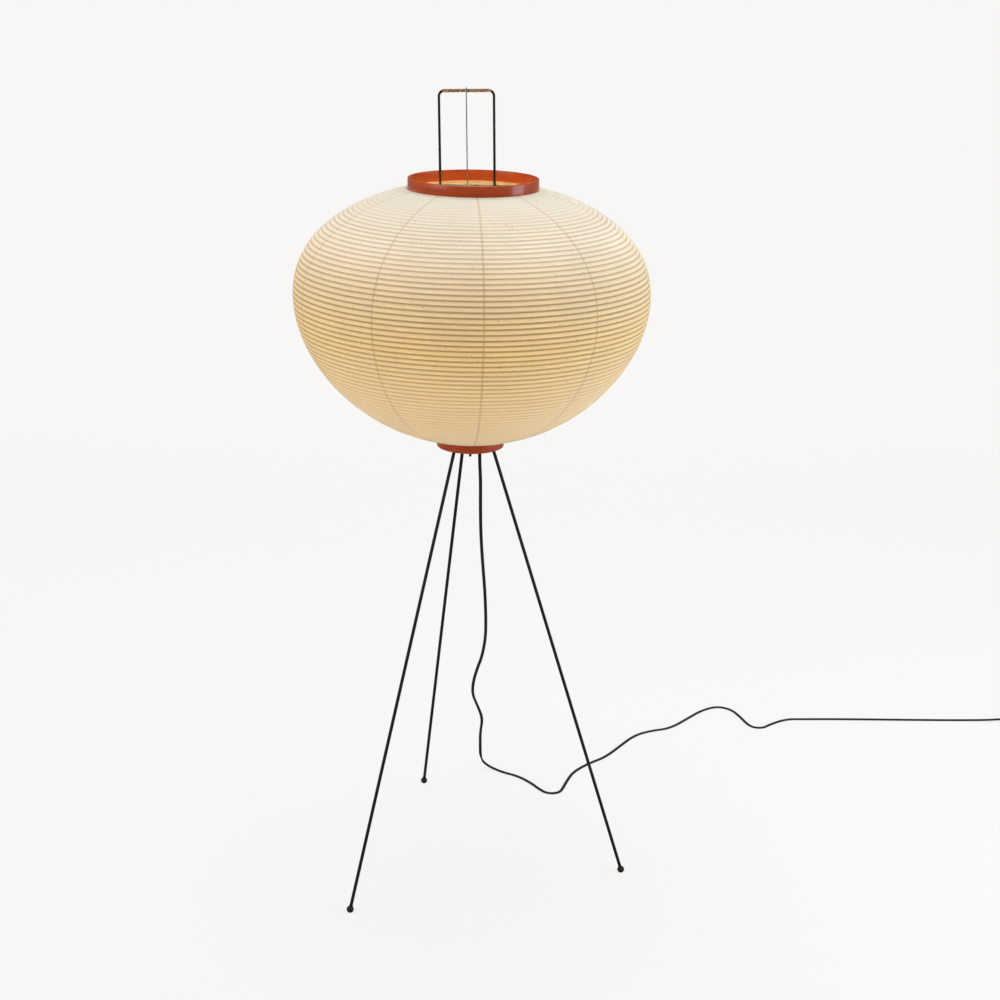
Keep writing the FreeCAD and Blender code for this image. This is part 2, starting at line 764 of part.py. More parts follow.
def coil_place(centre):
    """Spirals in near the floor, climbs in half a turn, and spirals out on top."""
    pitch = number("coil_pitch")
    low = number("coil_foot + cord_radius")
    outer = number("coil_outer")
    inner = outer - pitch * COIL_INWARD_TURNS
    climb_end = COIL_INWARD_TURNS + COIL_CLIMB_TURNS

    def place(t):
        angle = math.pi / 2 - 2 * math.pi * t
        if t <= COIL_INWARD_TURNS:
            radius = outer - pitch * t
            level = low
        elif t <= climb_end:
            share = (t - COIL_INWARD_TURNS) / COIL_CLIMB_TURNS
            radius = inner - pitch * COIL_CLIMB_TURNS / 2 * math.sin(math.pi * share) * 0.6
            level = low + pitch * (1 - math.cos(math.pi * share)) / 2
        else:
            radius = inner + pitch * (t - climb_end)
            level = low + pitch
        return centre + Vector(radius * math.cos(angle), radius * math.sin(angle), level)

    return place


def make_cord():
    """The flex: hanging and lying stretches, the put-away coil and the last lead."""
    low = number("cord_radius")
    diameter = 2 * low
    switch_x = number("switch_start")
    switch_y = number("switch_across")
    entry = number("switch_parting")
    route = [Vector(*p) for p in HANGING_ROUTE]
    route += [Vector(x, y, low) for x, y in FLOOR_ROUTE]
    route += [Vector(switch_x - 60, switch_y - 2, low + 0.4), Vector(switch_x, switch_y, entry)]
    keep(shaped("cord_run_tube", cord_tube("cord_run", route)), "cord_run")

    turns = COIL_INWARD_TURNS + COIL_CLIMB_TURNS + COIL_OUTWARD_TURNS
    switch_end = switch_x + number("switch_length")
    centre = Vector(switch_end + 62, switch_y - 8 - number("coil_outer"), 0)
    place = coil_place(centre)
    coil, coil_length = wound_tube(place, 0, turns, int(4 * turns), low)
    least_gap(place, 0, turns, low, "cord_coil")
    print("cord_coil: length %.0f, volume %.0f" % (coil_length, coil.Volume))
    keep(shaped("cord_coil_tube", coil), "cord_coil")

    nudge = 1e-4
    arriving = (place(nudge) - place(0)).normalize()
    mouth = place(0) - arriving * (diameter + CORD_END_GAP)
    link = [Vector(switch_end, switch_y, entry), Vector(switch_end + 16, switch_y - 0.6, entry - 1.2),
            Vector(switch_end + 34, switch_y - 5, low + 1.2), mouth]
    keep(shaped("cord_link_tube", cord_tube("cord_link", link)), "cord_link")

    leaving = (place(turns) - place(turns - nudge)).normalize()
    tip = place(turns) + leaving * (diameter + CORD_END_GAP)
    plug_x = centre.x + 62
    relief = 16.0
    plug_level = number("plug_height") / 2
    tail = [tip, tip + leaving * 18 + Vector(0, 0.4, -0.6),
            Vector(plug_x - relief - RELIEF_GAP, tip.y + 0.4, plug_level)]
    keep(shaped("cord_tail_tube", cord_tube("cord_tail", tail)), "cord_tail")

    make_cord_tie(centre)
    return Vector(plug_x, tip.y + 0.4, plug_level), relief


def make_cord_tie(centre):
    """Strap closed round all the coil's turns, with rounded corners."""
    wall = "tie_wall"
    foot = number("tie_foot")
    reach = "tie_outer_reach - tie_inner_reach"
    rise = "coil_foot - tie_foot - tie_wall + cord_radius + cord_radius + coil_pitch + 0.1"
    start = number("tie_inner_reach")
    half = number("tie_width") / 2
    band = rounded_band("tie_outer", (reach + " + tie_wall + tie_wall", "tie_width",
                                      rise + " + tie_wall + tie_wall"),
                        (start - number(wall), -half, foot), 2.4)
    core = rounded_band("tie_inner", (reach, "tie_width + 2", rise),
                        (start, -half - 1, foot + number(wall)), 1.8)
    tie = cut("tie_strap", band, core)
    tie.Placement = Placement(centre, Rotation(Vector(0, 0, 1), TIE_TURN))
    keep(tie, "cord_tie")


def rounded_band(name, size, corner, radius):
    """Block with its four edges across the strap rounded."""
    box = block(name, *size, corner)
    doc.recompute()
    fillet = doc.addObject("Part::Fillet", name + "_rounded")
    fillet.Base = box
    across = [i + 1 for i, edge in enumerate(box.Shape.Edges)
              if abs(edge.tangentAt(edge.FirstParameter).y) > 0.9]
    fillet.Edges = [(i, radius, radius) for i in across]
    return fillet


def rounded_block(name, size, corner, radius):
    """Block with its four upright edges rounded."""
    box = block(name, *size, corner)
    doc.recompute()
    fillet = doc.addObject("Part::Fillet", name + "_rounded")
    fillet.Base = box
    upright = [i + 1 for i, edge in enumerate(box.Shape.Edges)
               if abs(edge.tangentAt(edge.FirstParameter).z) > 0.9]
    fillet.Edges = [(i, radius, radius) for i in upright]
    return fillet


def make_switch():
    """In-line switch: two shells, a rocker on a pin, and two screws."""
    x = number("switch_start")
    y = number("switch_across")
    wall = number("switch_wall")
    parting = number("switch_parting")
    height = number("switch_height")
    length = number("switch_length")
    width = number("switch_width")
    corner = 7.0
    cord_hole = cylinder("switch_cord_hole", "cord_radius + 0.1", "switch_length + 2",
                         Placement(Vector(x - 1, y, parting),
                                   Rotation(Vector(0, 0, 1), Vector(1, 0, 0))))
    posts = [Vector(x + length * share, y + side * (width / 2 - 5.5), 0)
             for share, side in ((0.2, 1), (0.8, -1))]
    shells = []
    for label, foot, rise in (("switch_bottom", 0.0, "switch_parting"),
                              ("switch_top", parting, "switch_height - switch_parting")):
        outer = rounded_block(label + "_outer", ("switch_length", "switch_width", rise),
                              (x, y - width / 2, foot), corner)
        floor = foot + wall if label == "switch_bottom" else foot
        inner = rounded_block(label + "_inner",
                              ("switch_length - switch_wall - switch_wall",
                               "switch_width - switch_wall - switch_wall", rise + " - switch_wall"),
                              (x + wall, y - width / 2 + wall, floor), corner - wall)
        shells.append(cut(label + "_hollow", outer, inner))
    pins = []
    for index, post in enumerate(posts):
        pins.append(cylinder("switch_screw_%d" % index, "1.5", "switch_height - 3",
                             Placement(post + Vector(0, 0, 1), Rotation())))
    screws = together("switch_screw_pair", pins)
    holes = []
    for index, post in enumerate(posts):
        holes.append(cylinder("switch_screw_hole_%d" % index, "1.6", "switch_height - 0.9",
                              Placement(post + Vector(0, 0, -1), Rotation())))
    hole_pair = together("switch_screw_holes", holes)
    bottom = cut("switch_bottom_open", cut("switch_bottom_bored", shells[0], cord_hole), hole_pair)
    keep(bottom, "switch_bottom")

    middle = Vector(x + length / 2, y, 0)
    rocker_length = number("rocker_length")
    rocker_width = number("rocker_width")
    slot = block("rocker_slot", "rocker_length + 1.2", "rocker_width + 0.8", "switch_height",
                 (middle.x - rocker_length / 2 - 0.6, y - rocker_width / 2 - 0.4, parting + 1))
    pin_level = height - 3.6
    pin_turn = Rotation(Vector(0, 0, 1), Vector(0, -1, 0))
    pin_hole = cylinder("rocker_pin_hole", "1.02", "rocker_width + 9",
                        Placement(Vector(middle.x, y + rocker_width / 2 + 4.5, pin_level),
                                  pin_turn))
    lug_thick = 3.0
    lug_half = 3.0
    lug_drop = 4.0
    lugs = []
    for index, lug_y in enumerate((y - rocker_width / 2 - 0.4 - lug_thick,
                                   y + rocker_width / 2 + 0.4)):
        lugs.append(block("pin_lug_%d" % index, "6", "3", "switch_wall + 3",
                          (middle.x - lug_half, lug_y, height - wall - lug_drop)))
    bosses = [cylinder("screw_boss_%d" % index, "3", "switch_height - switch_parting - 1",
                       Placement(post + Vector(0, 0, parting), Rotation()))
              for index, post in enumerate(posts)]
    top = doc.addObject("Part::MultiFuse", "switch_top_lugged")
    top.Shapes = [cut("switch_top_bored", shells[1], cord_hole)] + lugs + bosses
    top = cut("switch_top_open", top, hole_pair)
    top = cut("switch_top_slotted", top, slot)
    keep(cut("switch_top_pinned", top, pin_hole), "switch_top")
    keep(screws, "switch_screws")

    # The rocker is a shallow V in side view, wider than deep, tilted to one side at rest.
    half = rocker_length / 2
    outline = [Vector(-half, 0, 1.6), Vector(-half + 0.4, 0, 4.4), Vector(0, 0, 3.4),
               Vector(half - 0.4, 0, 4.4), Vector(half, 0, 1.6), Vector(3, 0, -2.4),
               Vector(-3, 0, -2.4)]
    face = Part.Face(Part.makePolygon(outline + [outline[0]]))
    wedge = face.extrude(Vector(0, rocker_width, 0))
    wedge.translate(Vector(0, -rocker_width / 2, 0))
    bore = Part.makeCylinder(1.05, rocker_width + 2, Vector(0, -rocker_width / 2 - 1, 0),
                             Vector(0, 1, 0))
    rocker = shaped("rocker_wedge", wedge.cut(bore))
    rocker.Placement = Placement(Vector(middle.x, y, pin_level),
                                 Rotation(Vector(0, 1, 0), ROCKER_TILT))
    keep(rocker, "switch_rocker")
    keep(cylinder("rocker_pin", "1", "rocker_width + 6",
                  Placement(Vector(middle.x, y + rocker_width / 2 + 3, pin_level), pin_turn)),
         "switch_pin")


def make_plug(front, relief):
    """Two-pin plug lying on the floor beside the coil."""
    width = number("plug_width")
    body = rounded_block("plug_block", ("plug_length", "plug_width", "plug_height"),
                         (front.x, front.y - width / 2, 0), 5.0)
    sockets = []
    blades = []
    length = number("plug_length")
    spacing = number("blade_spacing")
    blade_width = number("blade_width")
    thick = number("blade_thick")
    for side in (-1, 1):
        corner = (front.x + length - 6, front.y + side * spacing / 2 - thick / 2,
                  front.z - blade_width / 2)
        sockets.append(block("blade_socket_%d" % (side + 1), "blade_length + 8", "blade_thick",
                             "blade_width", corner))
        blades.append(block("blade_%d" % (side + 1), "blade_length + 6", "blade_thick",
                            "blade_width", corner))
    keep(cut("plug_slotted", body, together("blade_sockets", sockets)), "plug_body")
    keep(together("blade_pair", blades), "plug_blades")
    cone = Part.makeCone(number("cord_radius") + 0.9, number("cord_radius") + 2.4, relief,
                         Vector(front.x - relief, front.y, front.z), Vector(1, 0, 0))
    core = Part.makeCylinder(number("cord_radius"), relief,
                             Vector(front.x - relief, front.y, front.z), Vector(1, 0, 0))
    keep(shaped("relief_cone", cone.fuse(core).removeSplitter()), "plug_relief")


# --------------------------------------------------------------------- build
make_base_plate()
for side, turn in LEG_TURN.items():
    make_leg(side, turn)
make_bail()
make_bail_wrap()
make_bottom_ring()
make_lantern()
make_top_ring()
make_hanger()
make_holder()
make_bulb()
make_grommet()
plug_front, plug_relief_length = make_cord()
make_switch()
make_plug(plug_front, plug_relief_length)
doc.recompute()

for item in doc.Objects:
    if "Invalid" in item.State or "Error" in item.State:
        raise RuntimeError("%s did not build: %s" % (item.Label, item.State))
labels = [item.Label for item in nodes]
if len(set(labels)) != len(labels):
    raise RuntimeError("two sub-parts share a name")
os.makedirs("parts", exist_ok=True)
for item in nodes:
    shape = item.Shape
    if shape.isNull() or not shape.isValid() or shape.Volume <= 0:
        raise RuntimeError("%s is not a valid solid" % item.Label)
    shape.exportStep(os.path.join("parts", item.Label + ".step"))
    box = shape.BoundBox
    print("%-24s solids %2d volume %10.1f  z %.2f to %.2f"
          % (item.Label, len(shape.Solids), shape.Volume, box.ZMin, box.ZMax))
print("%d sub-parts" % len(nodes))
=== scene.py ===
# Paper lantern floor lamp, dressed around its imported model. Metres, +Z up,
# -Y towards the viewer, +X to the right, where the flex runs off.
import math
import random

import bpy
from mathutils import Matrix, Vector, noise


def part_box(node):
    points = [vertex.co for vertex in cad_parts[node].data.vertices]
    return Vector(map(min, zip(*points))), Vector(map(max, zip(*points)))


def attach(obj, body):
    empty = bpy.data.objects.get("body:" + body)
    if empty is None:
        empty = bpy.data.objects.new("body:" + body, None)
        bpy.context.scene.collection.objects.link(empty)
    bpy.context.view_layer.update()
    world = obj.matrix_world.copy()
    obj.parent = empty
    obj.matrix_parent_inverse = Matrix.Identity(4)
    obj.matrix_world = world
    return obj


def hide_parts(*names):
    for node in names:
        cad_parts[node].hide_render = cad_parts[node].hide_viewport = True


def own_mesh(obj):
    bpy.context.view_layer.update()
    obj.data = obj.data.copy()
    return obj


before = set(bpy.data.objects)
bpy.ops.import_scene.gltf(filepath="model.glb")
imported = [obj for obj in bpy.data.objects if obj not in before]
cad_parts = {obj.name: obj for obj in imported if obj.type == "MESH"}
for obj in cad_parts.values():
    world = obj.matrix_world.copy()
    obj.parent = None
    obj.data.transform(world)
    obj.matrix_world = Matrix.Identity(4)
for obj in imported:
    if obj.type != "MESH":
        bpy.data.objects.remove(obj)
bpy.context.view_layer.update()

MM = 0.001
QUARTER = math.pi / 2

# ---- sizes: lantern
top_low, top_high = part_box("top_ring")
bottom_low, bottom_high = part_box("bottom_ring")
shade_low, shade_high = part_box("paper_shade")
TOP_RING_RADIUS = (top_high[0] - top_low[0]) / 2
BOTTOM_RING_RADIUS = (bottom_high[0] - bottom_low[0]) / 2
SHADE_RADIUS = (shade_high[0] - shade_low[0]) / 2
SHADE_LEVEL = 912.9 * MM
SHADE_RISE = 164.3 * MM
SHADE_DROP = 217.6 * MM
SHADE_RISE_POWER = 2.26
SHADE_DROP_POWER = 1.82
OUTLINE_SAMPLES = 4000

PAPER_WALL = 0.5 * MM
PAPER_GAP = 0.05 * MM
PAPER_DIP = 0.7 * MM
PAPER_RIPPLE = 0.35 * MM
DIP_SHARES = (0.0, 0.78, 1.0, 0.78)
WOBBLE_AROUND = 2.2
WOBBLE_UP = 14
ROWS_PER_RIB = len(DIP_SHARES)

PANEL_COUNT = 10
PANEL_COLUMNS = 20
SEAM_HALF = 0.006
SEAM_TURN = -120.0
SEAM_DRIFT = (0.0, -1.4, -0.1, 0.8, -0.6, 0.4, -0.9, 0.7, -0.3, 0.5)

RIB_COUNT = 74
RIB_SHIFT = 0.35 * MM
RIB_WAVE = 0.5 * MM
WAVE_TURN, WAVE_LIFT = 31, 3
RIB_RADIUS = 0.62 * MM
RIB_INSET = 0.75 * MM
RIB_STEPS = 144
RIB_SIDES = 6
RIB_SEED = 7

HOOP_WALL = 2.6 * MM
HOOP_ROUNDING = 0.9 * MM
HOOP_ROUNDING_STEPS = 4
LEDGE_LIP = 43.5 * MM
LEDGE_TOP = 697 * MM
LEDGE_UNDER = 694 * MM
LEDGE_CHAMFER = 0.4 * MM

# ---- sizes: stand
LEG_TURN = {"front_left": -132.3, "back": 108.1, "right": -12.3}
LEG_SPREAD = 253.3 * MM
LEG_GATHER = 29.2 * MM
LEG_GATHER_LEVEL = 699.8 * MM
LEG_TOP = 696 * MM
LEG_RADIUS = 2.5 * MM
LEG_STEPS = 24
FOOT_RADIUS = 5.5 * MM
FOOT_FLAT = 0.5 * MM
FOOT_STEPS = 24
FOOT_FACE_SHARE = 0.9
COLLAR_WALL = 0.35 * MM
COLLAR_STATIONS = (-0.9, -0.3, 0.3, 0.9)
ROD_SIDES = 24

BAIL_LEAN = math.radians(1.3)
BAIL_LEAN_LEVEL = 704 * MM
BAIL_FOOT = 692.8 * MM
BAIL_HEIGHT = 1203.8 * MM
BAIL_HALF_WIDTH = 38.8 * MM
BAIL_CORNER = 7.5 * MM
BAIL_CORNER_STEPS = 12
BAIL_WIRE = 1.8 * MM

WRAP_TURNS = 26
WRAP_SPAN = 68.8 * MM
WRAP_STEPS = 28
WRAP_GAP = 0.02 * MM
WRAP_UNEVEN = 0.12
WRAP_END_SHARE = 0.35
WRAP_SEED = 11
STRIP_WIDTH = 2.5 * MM
STRIP_THICK = 0.7 * MM
STRIP_SECTION = ((-0.5, 0.0), (-0.44, 0.55), (-0.3, 0.85), (0.0, 1.0), (0.3, 0.85),
                 (0.44, 0.55), (0.5, 0.0))

CROSS_WIRE_LEVEL = 1071 * MM
CROSS_WIRE_BACK = 3.6 * MM
CROSS_WIRE_RADIUS = 1.2 * MM
CROSS_WIRE_STATIONS = (-92.4 * MM, -40 * MM, 40 * MM, 92.4 * MM)
CROSS_WIRE_SIDES = 20
HANGER_WIRE = 0.8 * MM
HANGER_GAP = 0.3 * MM
HANGER_MIDDLE = 1140 * MM
HANGER_BEND = 2.0 * MM
HANGER_BEND_STEPS = 8
HANGER_TOE = 4 * MM
HANGER_SIDES = 16
EYE_RADIUS = 3.9 * MM
EYE_START = -130
EYE_ARC = 310
EYE_STEPS = 32

# ---- sizes: bulb
BULB_LEVEL = 793 * MM
BULB_RADIUS = 30 * MM
NECK_RADIUS = 12.4 * MM
NECK_CURVE = 30 * MM
NECK_SUNK = 9 * MM
NECK_STEPS = 12
BULB_STEPS = 32
GLASS_WALL = 1.0 * MM
CAP_RIM = 751 * MM

# ---- sizes: flex
CORD_WIDTH = 5.2 * MM
CORD_THICK = 3.0 * MM
CORE_ARC = 200
CORE_STEPS = 8
# Points in millimetres: (x, y, z) from the grommet down, then (x, y) along the floor.
HANGING_ROUTE = [
    (14, 0, 689), (14, 0, 665), (16, 13, 625), (16, 30, 577), (17, 52, 525),
    (20, 80, 470), (24, 108, 412), (26, 137, 356), (26, 166, 307), (20, 190, 262),
    (12, 208, 233), (5, 225, 199), (4, 241, 170), (13, 256, 142), (22, 272, 111),
    (18, 288, 77), (18, 300, 46), (19, 306, 17), (30, 303, 5),
]
FLOOR_ROUTE = [
    (56, 284), (85, 269), (107, 245), (123, 220), (134, 207), (148, 205), (159, 212),
    (164, 226), (172, 254), (184, 288), (213, 323), (243, 348), (269, 388), (302, 441),
    (335, 463), (373, 475), (413, 524), (439, 556), (471, 578), (498, 565), (511, 533),
    (521, 499), (531, 485), (549, 484), (563, 499), (598, 525), (634, 526), (690, 529),
    (964, 533),
]
FLOOR_LEVEL = 2.0
SWITCH_START = 1024 * MM
SWITCH_LENGTH = 64 * MM
SWITCH_ACROSS = 535 * MM
SWITCH_ENTRY = 6 * MM
LINK_MIDDLE = (34 * MM, -5 * MM, 3.8 * MM)
COIL_MIDDLE = 28.5 * MM
COIL_PITCH = 5.8 * MM
COIL_TURNS = (2.0, 0.5, 1.5)
COIL_STEPS = 14
COIL_TUCK = 0.6
COIL_PAST_SWITCH = 62 * MM
COIL_ASIDE = 8 * MM
TUBE_REST = 3.4 * MM
PLUG_PAST_COIL = 62 * MM
PLUG_LEVEL = 7 * MM
RELIEF_REACH = 16 * MM
TAIL_MIDDLE = 23 * MM
TAIL_LEVEL = 8.6 * MM
TAIL_ASIDE = 0.4 * MM
SPLINE_STEPS = 8
SPLINE_ORDER = 3
# The flex lies flat below one level, and twists more below another.
FLAT_FROM, FLAT_SPAN = 60 * MM, 50 * MM
LOOSE_FROM, LOOSE_SPAN = 340 * MM, 80 * MM
TWIST_HIGH, TWIST_LOW = 0.2, 0.8
TWIST_RATE = 5.2
UPRIGHT = 0.2

# ---- camera and stage
CAMERA_ACROSS = 45.8 * MM
CAMERA_BACK = 2495.8 * MM
CAMERA_HEIGHT = 1402.6 * MM
CAMERA_PITCH = 17.83
CAMERA_ROLL = 0.98
CAMERA_LENS = 62.39
CAMERA_SENSOR = 36
CAMERA_REACH = 60

BACKDROP_COLOUR = (248, 247, 245)
FLOOR_COLOUR = (235, 234, 232)
FLOOR_HALF_WIDTH = 9.0
FLOOR_END = 5.0
SWEEP_RADIUS = 3.0
SWEEP_STEPS = 12
WALL_TOP = 9.0
FLOOR_GLOW = 1.01
FLOOR_GLOW_LOSS = 0.7
FLOOR_GLOW_SHARES = (0.84, 0.98)
FLOOR_GLOW_DEPTHS = (0.9, 3.2)
WORLD_LIGHT = 0.48
# Name, place, target, width and height, watts, colour.
SOFTBOXES = (
    ("key", (2.4, -0.24, 1.1), (0, 0, 1.0), (1.1, 2.0), 32, (0.85, 1.0, 1.15)),
    ("fill", (-3.6, -1.9, 2.0), (0, 0, 0.8), (2.4, 2.4), 66, (1, 1, 1)),
    ("over", (0.0, 0.6, 4.2), (0, 0, 0.6), (2.8, 2.8), 86, (1, 1, 1)),
)
BULB_WATTS = 84.0
BULB_COLOUR = (1.0, 0.92, 0.72)
BULB_LIGHT_RADIUS = BULB_RADIUS + MM


def linear(red, green, blue):
    """Scene colour of an 8-bit display colour."""
    def one(value):
        value /= 255
        return value / 12.92 if value <= 0.04045 else ((value + 0.055) / 1.055) ** 2.4
    return (one(red), one(green), one(blue), 1.0)


def add_camera():
    data = bpy.data.cameras.new("camera")
    data.lens = CAMERA_LENS
    data.sensor_width = CAMERA_SENSOR
    data.clip_end = CAMERA_REACH
    camera = bpy.data.objects.new("camera", data)
    bpy.context.scene.collection.objects.link(camera)
    camera.matrix_world = (Matrix.Translation((CAMERA_ACROSS, -CAMERA_BACK, CAMERA_HEIGHT))
                           @ Matrix.Rotation(math.radians(90 - CAMERA_PITCH), 4, "X")
                           @ Matrix.Rotation(math.radians(CAMERA_ROLL), 4, "Z"))
    bpy.context.scene.camera = camera


# ---- node helpers
def new_material(name):
    material = bpy.data.materials.new(name)
    material.use_nodes = True
    tree = material.node_tree
    tree.nodes.clear()
    return material, tree


def add(tree, kind, settings=None, **sockets):
    """A node with its settings and its inputs; an input may be a value or a socket."""
    node = tree.nodes.new(kind)
    for key, value in (settings or {}).items():
        setattr(node, key, value)
    for key, value in sockets.items():
        numbered = key[0] == "i" and key[1:].isdigit()
        socket = node.inputs[int(key[1:]) if numbered else key.replace("_", " ")]
        if isinstance(value, bpy.types.NodeSocket):
            tree.links.new(value, socket)
        else:
            socket.default_value = value
    return node


def close_tree(tree, shader, kind="Material"):
    """Ends a tree with its output node."""
    output = tree.nodes.new("ShaderNodeOutput" + kind)
    tree.links.new(shader.outputs[0], output.inputs[0])


def mix_shaders(tree, share, first, second):
    both = add(tree, "ShaderNodeMixShader", Fac=share)
    tree.links.new(first.outputs[0], both.inputs[1])
    tree.links.new(second.outputs[0], both.inputs[2])
    return both


def math_node(tree, operation, first, second=0.0):
    return add(tree, "ShaderNodeMath", {"operation": operation}, i0=first, i1=second).outputs[0]


def times(tree, first, second):
    return math_node(tree, "MULTIPLY", first, second)


def plus(tree, first, second):
    return math_node(tree, "ADD", first, second)


def ramp(tree, value, low, high, from_value=0.0, to_value=1.0):
    """Smooth step from one value to another as the input goes from low to high."""
    return add(tree, "ShaderNodeMapRange", {"interpolation_type": "SMOOTHSTEP"}, i0=value,
               i1=low, i2=high, i3=from_value, i4=to_value).outputs[0]


def mix_colour(tree, share, first, second):
    return add(tree, "ShaderNodeMix", {"data_type": "RGBA"}, i0=share, i6=first,
               i7=second).outputs[2]


def object_place(tree):
    return add(tree, "ShaderNodeTexCoord").outputs["Object"]


def noise_mask(tree, place, scale, detail, distortion=0.0):
    return add(tree, "ShaderNodeTexNoise", Vector=place, Scale=scale, Detail=detail,
               Distortion=distortion).outputs[0]


def raise_surface(tree, height, strength, distance):
    return add(tree, "ShaderNodeBump", Strength=strength, Distance=distance,
               Height=height).outputs[0]


def principled(tree, **sockets):
    return add(tree, "ShaderNodeBsdfPrincipled", **sockets)


def make_mottle_group():
    """Uneven finish: a slow patchy mask and a fine grain mask, both 0 to 1."""
    group = bpy.data.node_groups.new("uneven_finish", "ShaderNodeTree")
    labels = [("patch_scale", "INPUT"), ("grain_scale", "INPUT"),
              ("patches", "OUTPUT"), ("grain", "OUTPUT")]
    for label, way in labels:
        group.interface.new_socket(label, in_out=way, socket_type="NodeSocketFloat")
    given = group.nodes.new("NodeGroupInput")
    out = group.nodes.new("NodeGroupOutput")
    place = object_place(group)
    group.links.new(noise_mask(group, place, given.outputs[0], 3.0), out.inputs[0])
    group.links.new(noise_mask(group, place, given.outputs[1], 2.0), out.inputs[1])
    return group


MOTTLE = make_mottle_group()


def mottle(tree, patch_scale, grain_scale):
    node = add(tree, "ShaderNodeGroup", {"node_tree": MOTTLE}, i0=patch_scale, i1=grain_scale)
    return node.outputs[0], node.outputs[1]


def coated(name, light, dark, roughness, spread, bump, patch_scale=30.0, grain_scale=900.0,
           **shader):
    """Finish of two close tones with uneven gloss and a fine bump."""
    material, tree = new_material(name)
    patches, grain = mottle(tree, patch_scale, grain_scale)
    colour = mix_colour(tree, ramp(tree, patches, 0.35, 0.65), linear(*dark), linear(*light))
    rough = plus(tree, roughness - spread / 2, times(tree, patches, spread))
    raised = raise_surface(tree, grain, strength=bump, distance=0.2 * MM)
    close_tree(tree, principled(tree, Base_Color=colour, Roughness=rough, Normal=raised,
                                **shader))
    return material


# ---- paper
# Painted bulb glow, by share of the lantern's height: warmest halfway up near the bulb, greyest at
# the top.
PAPER_GLOW_BY_HEIGHT = ((0.0, (246, 230, 194)), (0.25, (251, 234, 196)), (0.5, (254, 233, 180)),
                   (0.7, (252, 239, 208)), (0.86, (248, 244, 233)), (1.0, (232, 230, 222)))
RIB_SHADOW_LINE_EDGE = (0.07, 0.26)
RIB_SHADE_EDGE = (0.35, 0.95)
RIB_SHADOW_WANDER = 0.10
SEAM_EDGE = (1.0 * MM, 2.1 * MM)
SEAM_WANDER = 1.6 * MM
FIBRE_EDGE = (0.0, 0.010)
# Shares of the height between which the painted rib lines and band shade fade, and how much is
# seen at each.
RIB_SHADOW_FADES = ((0.60, 0.86, 1.0, 0.60), (0.88, 0.985, 1.0, 0.15), (0.12, 0.55, 0.35, 1.0))
TRANSLUCENCE = 0.38


